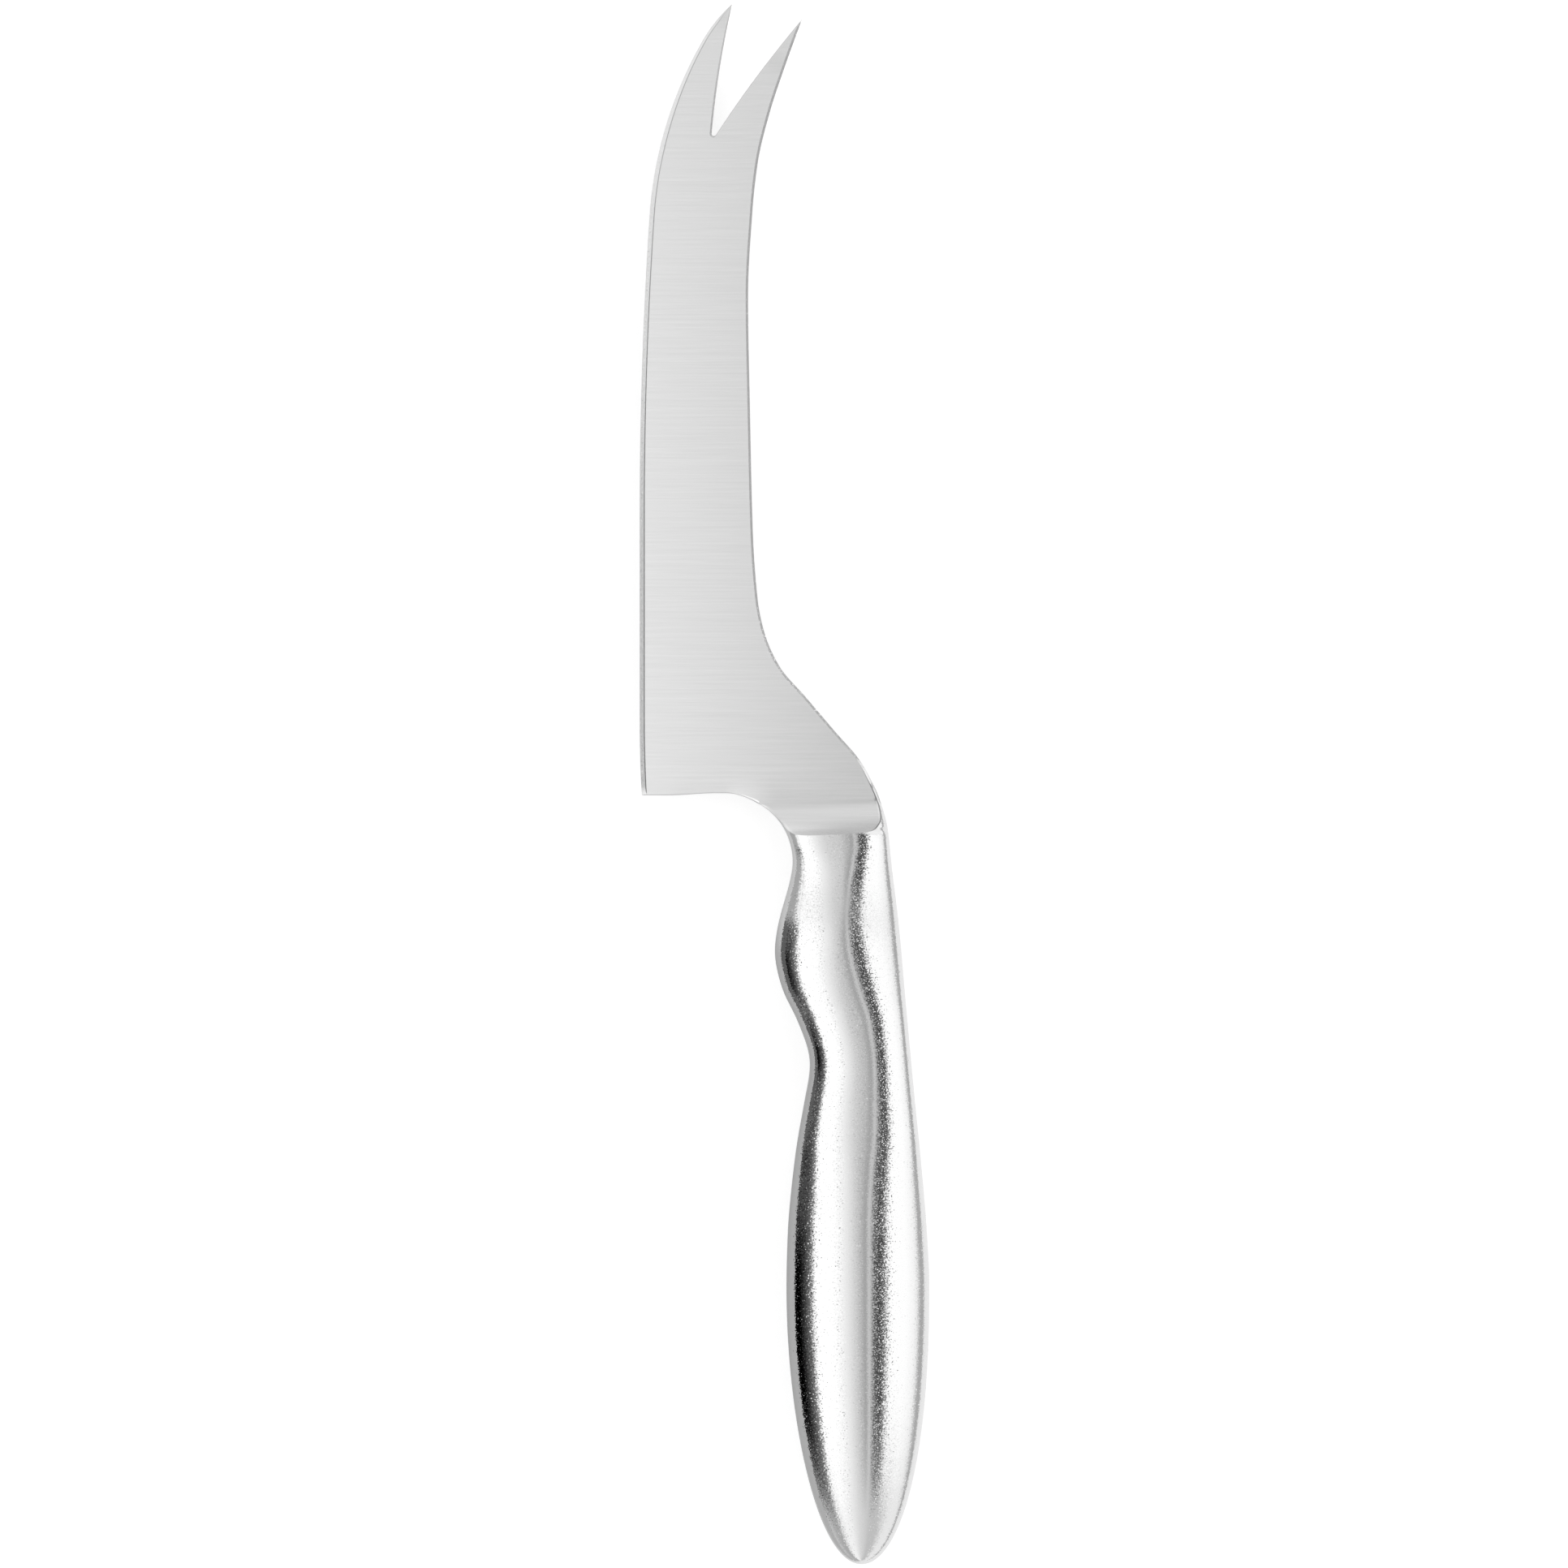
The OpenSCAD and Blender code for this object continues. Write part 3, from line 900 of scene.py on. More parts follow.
@dataclass(frozen=True)
class SteelFinish:
    """Steel with a satin grain, brushed or not."""

    name: str
    grey: float
    roughness: float
    grain_tilt: float = 0.02
    grains_per_m: float = 5000.0
    speckle: float = 0.02
    brushing: float = 0.0
    lines_per_m: float = 4500.0
    stretch: float = 60.0

    def build(self, groups: Groups) -> bpy.types.Material:
        """Makes the material.

        Args:
            groups: the shared node groups.

        Returns:
            The material.
        """
        material, kit, shader = new_material(self.name, {"Metallic": 1.0, "Roughness": self.roughness})
        grain = kit.add("ShaderNodeGroup", node_tree=groups.grain)
        kit.fill(grain, {
            "Grains per metre": self.grains_per_m, "Tilt": self.grain_tilt, "Speckle": self.speckle,
        })
        tone = grain.outputs["Tone"]
        if self.brushing:
            brushing = kit.add("ShaderNodeGroup", node_tree=groups.brushing)
            kit.fill(brushing, {
                "Lines per metre": self.lines_per_m, "Stretch": self.stretch, "Depth": self.brushing,
            })
            lines = brushing.outputs["Tone"]
            tone = kit.math("MULTIPLY", tone, lines)
            kit.fill(shader, {"Roughness": kit.math("MULTIPLY", lines, self.roughness)})
        colour = kit.grey(kit.math("MULTIPLY", tone, self.grey))
        kit.fill(shader, {"Base Color": colour, "Normal": grain.outputs["Normal"]})
        return material


@dataclass(frozen=True)
class CementFinish:
    """Mottled grey cement with fine pores."""

    name: str = "Filling cement"
    dark: tuple = (0.42, 0.41, 0.39, 1.0)
    light: tuple = (0.62, 0.6, 0.57, 1.0)
    roughness: float = 0.85
    mottling_per_m: float = 300.0
    mottling_detail: float = 5.0
    pore_depth: float = 0.0002

    def build(self) -> bpy.types.Material:
        """Makes the material.

        Returns:
            The material.
        """
        material, kit, shader = new_material(self.name, {"Roughness": self.roughness})
        noise = kit.add("ShaderNodeTexNoise", {
            "Vector": kit.place(), "Scale": self.mottling_per_m, "Detail": self.mottling_detail,
        }).outputs[0]
        mottled = kit.add("ShaderNodeMix", data_type="RGBA")
        kit.fill(mottled, {0: noise, 6: self.dark, 7: self.light})
        bump = kit.add("ShaderNodeBump", {"Height": noise, "Distance": self.pore_depth})
        kit.fill(shader, {"Base Color": mottled.outputs[2], "Normal": bump.outputs[0]})
        return material


class Finishes:
    """The knife's materials."""

    def __init__(self) -> None:
        """Builds each material once."""
        groups = Groups()
        satin = {"grey": 0.8, "roughness": 0.08, "grain_tilt": 0.11, "grains_per_m": 4500.0, "speckle": 0.03}
        self.blade = SteelFinish("Cross-brushed blade steel", 0.765, 0.24, brushing=0.17).build(groups)
        self.bevel = SteelFinish("Ground edge steel", 0.8, 0.2, brushing=0.06, stretch=8.0).build(groups)
        # Dark steel painted along the shoulders of the ramps and of the back's chamfer near the neck: a
        # painted shade line.
        self.corner = SteelFinish("Painted shade line steel", 0.32, 0.3).build(groups)
        self.handle = SteelFinish("Satin handle steel", **satin).build(groups)
        self.weld = SteelFinish("Flush weld steel", **satin).build(groups)
        self.pin = SteelFinish(
            "Turned pin steel", 0.6, 0.35, grain_tilt=0.03, grains_per_m=3000.0, speckle=0.05, brushing=0.15,
        ).build(groups)
        self.cement = CementFinish().build()


def place_piece(piece: bpy.types.Object, node: str) -> None:
    """Says which CAD node a piece stands for and reports it.

    Args:
        piece: the piece.
        node: the CAD node.
    """
    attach(piece, "root")
    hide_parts(node)
    LOG.info("%s stands for %s: %d faces", piece.name, node, len(piece.data.polygons))


def dress_node(frame: dict, node: str, material: bpy.types.Material) -> None:
    """Gives a carried CAD node its material and reports it.

    Args:
        frame: the loaded frame.
        node: the CAD node.
        material: its material.
    """
    mesh = frame["nodes"][node].data
    mesh.materials.clear()
    mesh.materials.append(material)
    LOG.info("%s keeps its CAD form, in %s", node, material.name)


class Steel(IntEnum):
    """Finishes of the blade and the cheeks, by number."""

    BRUSHED = 0
    SATIN = 1
    # The painted shade line: dark steel on the shoulder strips of the ramps and of the back's chamfer.
    LINE = 2
    BEVEL = 3


@dataclass
class Chamfer:
    """Chamfer at one place of the blade's rim.

    Its strip is a gentle inner part, which starts at a share of the width. Where line is set, the
    strip is painted dark as a shade line.
    """

    width: float = 0.0
    drop: float = 0.0
    roundness: float = 0.0
    strip_from: float = 1.0
    strip_drop: float = 0.0
    line: bool = False


@dataclass
class RimPoint:
    """Place on the blade's rim; the flat and the side are given where the rim follows the handle."""

    out: np.ndarray
    part: str
    finish: Steel
    chamfer: Chamfer
    flat: Optional[np.ndarray] = None
    side: Optional[np.ndarray] = None


@dataclass
class Blade:
    """Stamped and ground blade, with its neck and tang."""

    form: KnifeForm
    grind_w: float = 36.0
    grind_out: tuple = (-4.0, 1.0)
    grind_out_x: tuple = (14.0, 22.0)
    spine_chamfer: float = 0.38
    neck_chamfer: float = 0.62
    neck_turn: tuple = (-7.0, 0.5)
    steepness: float = 1.04
    notch_chamfer: float = 0.3
    short_chamfer: float = 0.07
    short_from: tuple = (0.2, 0.9)
    line_share: float = 0.7
    line_drop: float = 0.025
    # Nearness to the neck from which the back chamfer's strip is painted dark as a shade line.
    shade_line_from: float = 0.05
    choil_strip: float = 0.32
    strip_opening: float = 6.0
    strip_slope: float = 0.27
    small_chamfer: float = 0.13
    small_drop: float = 0.2
    side_share: float = 0.7
    round_side: float = 0.45
    neck_start: float = 1.5
    bevel_share: float = 0.8
    heel_slope: float = 0.346
    tip_slope: float = 0.327
    slope_change: tuple = (0.2, 0.7)
    wire_slope: float = 0.42
    tip_wire_slope: float = 0.52
    tip_from: float = 0.8
    tip_past: float = 0.3
    tip_closing: float = 3.0
    tip_least: float = 0.05
    tip_run: float = 2.0
    tip_end: float = 0.02
    least_share: float = 0.3
    tang_w: float = 9.0
    tang_l: float = 62.0
    tang_hole_d: float = 5.0
    tang_hole_shares: tuple = (0.35, 0.75)
    tang_end_share: float = 0.5
    pin_hole_d: float = 4.1
    pin_share: float = 0.68
    heel_steps: int = 26
    choil_steps: tuple = (14, 24)
    side_steps: tuple = (11, 28)
    back_steps: int = 170
    hole_steps: int = 32
    grid_step: float = 1.3
    grid_gap: float = 0.55
    merge_within: float = 1e-7
    near_straight: float = 0.2
    rim: list = field(default_factory=list)

    def _to_tip(self, up: np.ndarray) -> np.ndarray:
        """Share of the way from where the bevel starts to narrow to the tips."""
        return blend_step(up, self.tip_from * self.form.blade_l, self.form.blade_l)

    def bevel_at(self, up: np.ndarray) -> np.ndarray:
        """Width of the bevel where the edge has climbed to a height above the heel line.

        Args:
            up: the height.

        Returns:
            The width.
        """
        form = self.form
        width = form.bevel_w + (form.tip_bevel_w - form.bevel_w) * self._to_tip(up)
        return width * np.clip((form.blade_l + self.tip_past - up) / self.tip_closing, self.tip_least, 1.0)

    def bevel_z(self, up: np.ndarray, share: float) -> np.ndarray:
        """Height of the bevel at a share of its width; it ends in a narrow steeper strip.

        Args:
            up: height of the edge above the heel line.
            share: the share, from the edge inwards.

        Returns:
            The height above the middle plane.
        """
        form = self.form
        rise = blend_step(up, *(s * form.blade_l for s in self.slope_change))
        slope = self.heel_slope + (self.tip_slope - self.heel_slope) * rise
        flat = np.minimum(share, self.bevel_share) * slope
        wire_slope = self.wire_slope + (self.tip_wire_slope - self.wire_slope) * self._to_tip(up)
        strip = np.maximum(share - self.bevel_share, 0.0) * wire_slope
        return form.edge_t / 2 + self.bevel_at(up) * (flat + strip)

    def edge_distance(self, points: np.ndarray) -> tuple:
        """Distance of points from the cutting edge, and the height of the edge beside them.

        Args:
            points: x and up of each point.

        Returns:
            The distances, and the heights above the heel line.
        """
        form = self.form
        distance = points[:, 0] - form.heel_shift(points[:, 1])
        beside = points[:, 1].copy()
        for k, radius in enumerate(form.edge_radii):
            centre = form.edge_centre(k)
            away = points - centre
            turn = np.arctan2(away[:, 1], -away[:, 0])
            here = (turn > form.edge_turn(k)) & (points[:, 1] > form.edge_end(-1)[1])
            distance = np.where(here, radius - np.hypot(away[:, 0], away[:, 1]), distance)
            on_edge = centre[1] + radius * np.sin(np.minimum(turn, form.edge_turn(k + 1)))
            beside = np.where(here, on_edge, beside)
        return distance, beside

    def face_z(self, points: np.ndarray) -> np.ndarray:
        """Height of the ground flank above the middle plane at x and up.

        Args:
            points: x and up of each point.

        Returns:
            The heights.
        """
        form = self.form
        distance, beside = self.edge_distance(points)
        bevel = self.bevel_at(beside)
        low = self.bevel_z(beside, 1.0)
        left = np.clip(1 - (distance - bevel) / (self.grind_w - bevel), 0.0, 1.0)
        ground = form.half_stock - (form.half_stock - low) * left**2
        fill = blend_step(-points[:, 1], *self.grind_out) * blend_step(points[:, 0], *self.grind_out_x)
        return ground + (form.half_stock - ground) * fill

    def _stretch(self, points: Sequence, part: str, finish: Steel, cut: Callable) -> None:
        """Adds a stretch of the rim, without its last point.

        Args:
            points: x and up of the points, anticlockwise.
            part: name of the part of the rim.
            finish: the chamfer's finish.
            cut: gives the chamfer at a point.
        """
        for point in np.asarray(points, float)[:-1]:
            self.rim.append(RimPoint(point, part, finish, cut(point)))

    def _bowed(self, start: np.ndarray, end: np.ndarray, bow: float, count: int = 24) -> np.ndarray:
        """Points of a line that bows sideways.

        Args:
            start: its start.
            end: its end.
            bow: how far it bows.
            count: how many points.

        Returns:
            Rows of x and up.
        """
        t = np.linspace(0.0, 1.0, count)[:, None]
        along = (end - start) / np.linalg.norm(end - start)
        side = np.array([along[1], -along[0]])
        return start + (end - start) * t + side * bow * 4 * t * (1 - t)

    def _notch(self, steps: int = 17) -> np.ndarray:
        """Points of the notch from the short tip round to the long one.

        Args:
            steps: points round its bottom.

        Returns:
            Rows of x and up.
        """
        form = self.form
        mid = np.array([form.notch_x, form.blade_l - form.notch_d + form.notch_r])
        reach = form.short_tip - mid
        lean = math.atan2(reach[0], reach[1])
        turns = -lean - (math.pi - lean) * np.linspace(0.0, 1.0, steps)
        bottom = round_points(mid, form.notch_r, turns)
        first = self._bowed(form.short_tip, bottom[0], form.notch_bow)
        last = self._bowed(bottom[-1], form.long_tip, -form.notch_bow)
        return np.concatenate([first, bottom[1:-1], last])

    def _edge(self, arc_steps: int = 28, straight_steps: int = 60) -> np.ndarray:
        """Points of the cutting edge from the long tip down to the heel.

        Args:
            arc_steps: points along an arc.
            straight_steps: points along the straight stretch.

        Returns:
            Rows of x and up.
        """
        form = self.form
        parts = []
        for k in (2, 1, 0):
            turns = np.linspace(form.edge_turn(k + 1), form.edge_turn(k), arc_steps)[:-1]
            centre, radius = form.edge_centre(k), form.edge_radii[k]
            parts.append(centre + radius * np.stack([-np.cos(turns), np.sin(turns)], axis=-1))
        straight = np.linspace(form.edge_end(-1)[1], 0.0, straight_steps)
        parts.append(np.stack([form.heel_shift(straight), straight], axis=-1))
        return np.concatenate(parts)

    def _neck_side(self, places: np.ndarray, sign: int) -> None:
        """Adds the rim along one side of the neck, where it follows the handle's surface.

        Args:
            places: places behind the heel line, in the rim's order.
            sign: 1 for the back and -1 for the finger side.
        """
        form, cut = self.form, Chamfer(roundness=self.round_side)
        for behind in places:
            mid = form.mid_x(behind)
            out, side, flat = (
                np.array([mid + sign * form.half_w_at(behind, share * form.half_stock, sign), -behind])
                for share in (0, self.side_share, 1)
            )
            self.rim.append(RimPoint(out, "neck", Steel.SATIN, cut, flat, side))

    def _tang(self, steps: int = 32) -> list:
        """Points of the tang from the finger side round its end to the back.

        Args:
            steps: points along a side.

        Returns:
            Rows of x and up.
        """
        form, half = self.form, self.tang_w / 2
        end_half = half * self.tang_end_share
        places = form.joint_y + np.linspace(0.0, self.tang_l, steps)
        tip_x, tip_up = form.mid_x(places[-1]), -places[-1] - end_half
        tang = [[form.mid_x(b) - half, -b] for b in places]
        tang += [[tip_x - end_half, tip_up], [tip_x + end_half, tip_up]]
        tang += [[form.mid_x(b) + half, -b] for b in places[::-1]]
        return [*tang, tang[-1]]

    def _make_rim(self) -> None:
        """Lays the rim out, anticlockwise from the heel."""
        form = self.form
        centre = np.array([form.neck_front_x - form.choil_r, -form.choil_r])
        low = math.acos(1 - self.neck_start / form.choil_r)
        heel = np.linspace(form.heel_in, centre[0], self.heel_steps)
        top = np.stack([heel, form.heel_up(heel)], axis=-1)
        arc_steps, neck_steps = self.choil_steps
        arc = round_points(centre, form.choil_r, math.pi / 2 - np.linspace(0.0, low, arc_steps)[1:])
        arc[:, 1] += form.heel_rise * (1 - blend_step(arc[:, 0], heel[-1], arc[-1, 0]))
        self._stretch([*top, arc[0]], "chamfer", Steel.BRUSHED, self._plain_cut)
        self._stretch(arc, "chamfer", Steel.SATIN, self._choil_cut)
        turns = np.linspace(math.pi / 2 - low, 0.0, neck_steps)
        self._neck_side(-(centre[1] + form.choil_r * np.sin(turns)), -1)
        finger_steps, back_steps = self.side_steps
        self._neck_side(np.linspace(form.choil_r, form.joint_y, finger_steps)[1:], -1)
        self._stretch(self._tang(), "chamfer", Steel.BRUSHED, self._plain_cut)
        self._neck_side(np.linspace(form.joint_y, self.neck_start, back_steps), 1)
        ups = np.linspace(-self.neck_start, form.short_tip[1], self.back_steps)[1:]
        back = np.stack([form.back_x(-ups), ups], axis=-1)
        self._stretch(back, "chamfer", Steel.SATIN, self._back_cut)
        self._stretch(self._notch(), "chamfer", Steel.SATIN, self._notch_cut)
        self._stretch(self._edge(), "bevel", Steel.BEVEL, self._edge_cut)

    def _near_tips(self, point: np.ndarray) -> float:
        """Share of a chamfer's width left as it nears a tip.

        Args:
            point: x and up of the point.

        Returns:
            The share.
        """
        form = self.form
        reach = min(np.linalg.norm(point - form.short_tip), np.linalg.norm(point - form.long_tip))
        return min(max(reach / self.tip_run, self.tip_end), 1.0)

    def _plain_cut(self, point: np.ndarray) -> Chamfer:
        """Small chamfer of the heel and the tang."""
        return Chamfer(self.small_chamfer, self.small_drop)

    def _choil_cut(self, point: np.ndarray) -> Chamfer:
        """Chamfer of the choil, with a gentle strip that opens towards the neck.

        Args:
            point: x and up of the point.

        Returns:
            The chamfer.
        """
        start = self.form.neck_front_x - self.form.choil_r
        strip = self.choil_strip * float(blend_step(point[0], start, start + self.strip_opening))
        width, strip_drop = self.small_chamfer + strip, self.strip_slope * strip
        turned = self.round_side * float(blend_step(-point[1], 0.0, self.neck_start))
        return Chamfer(width, self.small_drop + strip_drop, turned, self.small_chamfer / width, strip_drop)

    def _back_cut(self, point: np.ndarray) -> Chamfer:
        """Chamfer of the back, which widens and rounds over where it runs into the neck's side; near the
        neck its strip is painted dark as a shade line.

        Args:
            point: x and up of the point.

        Returns:
            The chamfer.
        """
        near = float(blend_step(-point[1], *self.neck_turn))
        width = self.spine_chamfer + (self.neck_chamfer - self.spine_chamfer) * near
        width *= self._near_tips(point)
        return Chamfer(
            width, self.steepness * width * (1 - near), self.round_side * near,
            1 - (1 - self.line_share) * near, self.line_drop * near, near > self.shade_line_from,
        )

    def _notch_width(self, point: np.ndarray) -> float:
        """Chamfer of the notch: wide on the long prong and slight on the short one.

        Args:
            point: x and up of the point.

        Returns:
            The width.
        """
        form = self.form
        start = form.notch_x - form.notch_r
        near = start + (form.long_tip[0] - start) * max((point[1] - form.long_tip[1]) / form.notch_d + 1, 0.0)
        slight = float(blend_step(point[0] - near, *self.short_from))
        return self.notch_chamfer + (self.short_chamfer - self.notch_chamfer) * slight

    def _notch_cut(self, point: np.ndarray) -> Chamfer:
        """Chamfer of the notch, closing at the tips and narrow where the flank is low.

        Args:
            point: x and up of the point.

        Returns:
            The chamfer.
        """
        top = float(self.face_z(point[None])[0])
        most = (1 - self.least_share) * top / self.steepness
        width = min(self._notch_width(point) * self._near_tips(point), most)
        return Chamfer(width, self.steepness * width)

    def _edge_cut(self, point: np.ndarray) -> Chamfer:
        """The bevel at a point of the edge."""
        return Chamfer(float(self.bevel_at(np.array(point[1]))))

    def _inner_rim(self) -> np.ndarray:
        """Points of the rim on the flank, inside the chamfers and the bevel.

        Returns:
            Rows of x and up.
        """
        outer = np.array([p.out for p in self.rim])
        lefts = []
        for way in (outer - np.roll(outer, 1, axis=0), np.roll(outer, -1, axis=0) - outer):
            way /= np.linalg.norm(way, axis=1, keepdims=True)
            lefts.append(np.stack([-way[:, 1], way[:, 0]], axis=-1))
        inner = []
        for i, spot in enumerate(self.rim):
            if spot.flat is not None:
                inner.append(spot.flat)
                continue
            width = spot.chamfer.width
            before = self.rim[i - 1].chamfer.width if i == 0 else width
            normals = np.array([left[i] for left in lefts])
            if abs(np.linalg.det(normals)) < self.near_straight:
                facing = normals.sum(axis=0)
                inner.append(outer[i] + width * facing / np.linalg.norm(facing))
            else:
                inner.append(outer[i] + np.linalg.solve(normals, [before, width]))
        return np.array(inner)

    def _holes(self) -> list:
        """Centre and radius of each hole in the neck and the tang.

        Returns:
            Pairs of centre and radius.
        """
        form = self.form
        places = [form.joint_y + share * self.tang_l for share in self.tang_hole_shares]
        holes = [(np.array([form.mid_x(b), -b]), self.tang_hole_d / 2) for b in places]
        pin_y = self.pin_share * form.joint_y
        return holes + [(np.array([form.mid_x(pin_y), -pin_y]), self.pin_hole_d / 2)]

    @staticmethod
    def _inside(points: np.ndarray, loop: np.ndarray) -> np.ndarray:
        """Whether each point lies inside a closed loop.

        Args:
            points: x and up of each point.
            loop: x and up of the loop's points.

        Returns:
            A truth value for each point.
        """
        x, y = points[:, 0:1], points[:, 1:2]
        x0, y0 = loop[:, 0], loop[:, 1]
        x1, y1 = np.roll(x0, -1), np.roll(y0, -1)
        spans = (y0 > y) != (y1 > y)
        crossing = x0 + (y - y0) * (x1 - x0) / np.where(y1 == y0, TINY, y1 - y0)
        return (spans & (x < crossing)).sum(axis=1) % 2 == 1

    def _flank(self, inner: np.ndarray) -> tuple:
        """Divides the flank into triangles.

        Args:
            inner: the inner rim.

        Returns:
            The points of the flank as x and up, its triangles, and the rings of its holes.
        """
        turns = np.linspace(0.0, 2 * math.pi, self.hole_steps, endpoint=False)
        rings = [inner] + [round_points(centre, radius, turns) for centre, radius in self._holes()]
        edges = []
        start = 0
        for ring in rings:
            count = len(ring)
            edges += [(start + i, start + (i + 1) % count) for i in range(count)]
            start += count
        points = np.concatenate(rings)
        step = self.grid_step
        low, high = inner.min(axis=0), inner.max(axis=0)
        xs, ys = np.arange(low[0], high[0], step), np.arange(low[1], high[1], step)
        spread = np.array([[x + (j % 2) * step / 2, y] for j, y in enumerate(ys) for x in xs])
        spread = spread[self._inside(spread, inner)]
        gap = np.array([np.min(np.hypot(*(points - p).T)) for p in spread])
        spread = spread[gap > self.grid_gap * step]
        for centre, radius in self._holes():
            spread = spread[np.hypot(*(spread - centre).T) > radius]
        flat = [Vector((float(x), float(y))) for x, y in np.concatenate([points, spread])]
        found, _, triangles, *_ = delaunay_2d_cdt(flat, edges, [], 0, self.merge_within)
        found = np.array([tuple(v) for v in found])
        centres = np.array([found[list(t)].mean(axis=0) for t in triangles])
        keep = self._inside(centres, inner)
        for ring in rings[1:]:
            keep &= ~self._inside(centres, ring)
        return found, [t for t, k in zip(triangles, keep) if k], rings[1:]

    def _levels(self, inner: np.ndarray) -> np.ndarray:
        """Rows of the rim from the upper flank round to the lower one.

        Args:
            inner: the inner rim.

        Returns:
            Seven rows of working points.
        """
        outer = np.array([p.out for p in self.rim])
        on_edge = np.array([p.part == "bevel" for p in self.rim])
        drop, turned, strip_from, strip_drop = np.array([
            (c.drop, c.roundness, c.strip_from, c.strip_drop) for c in (p.chamfer for p in self.rim)
        ]).T
        top = self.face_z(inner)
        bulge = outer + turned[:, None] * (inner - outer)
        for i, spot in enumerate(self.rim):
            if spot.side is not None:
                bulge[i] = spot.side
        straight = np.maximum(top - drop, self.least_share * top)
        rise = straight + (self.side_share * top - straight) * turned / self.round_side
        rise = np.where(on_edge, self.form.edge_t / 2, rise)
        reach = np.where(on_edge, self.bevel_share, strip_from)[:, None]
        shoulder = outer + reach * (inner - outer)
        shoulder_z = np.where(on_edge, self.bevel_z(outer[:, 1], self.bevel_share), top - strip_drop)
        upper = [(inner, top), (shoulder, shoulder_z), (bulge, rise)]
        levels = upper + [(outer, 0 * top)] + [(xy, -z) for xy, z in upper[::-1]]
        return np.array([np.column_stack([xy, z]) for xy, z in levels])

    def _skin_rim(self, skin: Skin, rows: np.ndarray) -> None:
        """Adds the faces of the rim.

        Args:
            skin: the blade's skin.
            rows: rows of the rim.
        """
        shades = self.form.envelope_normal(rows)
        last = len(rows) - 2
        for i, spot in enumerate(self.rim):
            j = (i + 1) % len(self.rim)
            on_neck = spot.flat is not None and self.rim[j].flat is not None
            for r in range(last + 1):
                cell = [(r, i), (r + 1, i), (r + 1, j), (r, j)]
                corners = [rows[k] for k in cell]
                if on_neck:
                    skin.face(corners, [shades[k] for k in cell], "neck side", Steel.SATIN)
                    continue
                outside = min(r, last - r)
                finish = spot.finish if outside < 2 else Steel.BRUSHED
                # The strip of a chamfer with a line is painted dark: a painted shade line.
                if spot.chamfer.line and outside == 0:
                    finish = Steel.LINE
                skin.face(corners, None, f"{spot.part} {outside}", finish)

    def build(self, finishes: Finishes) -> bpy.types.Object:
        """Makes the blade.

        Args:
            finishes: the knife's materials.

        Returns:
            The piece.
        """
        self._make_rim()
        inner = self._inner_rim()
        skin = Skin(self.form)
        self._skin_rim(skin, self._levels(inner))
        found, triangles, holes = self._flank(inner)
        heights = self.face_z(found)
        upper = np.column_stack([found, heights])
        lower = np.column_stack([found, -heights])
        for a, b, c in triangles:
            skin.face([upper[a], upper[b], upper[c]], region="upper flank")
            skin.face([lower[c], lower[b], lower[a]], region="lower flank")
        for ring in holes:
            z = np.full(len(ring), self.form.half_stock)
            loop = np.array([np.column_stack([ring, -z]), np.column_stack([ring, z])])
            skin.grid(np.concatenate([loop, loop[:, :1]], axis=1), region="hole")
        steels = [finishes.blade, finishes.handle, finishes.corner, finishes.bevel]
        return skin.build("knife_blade", steels, Side.UPPER)


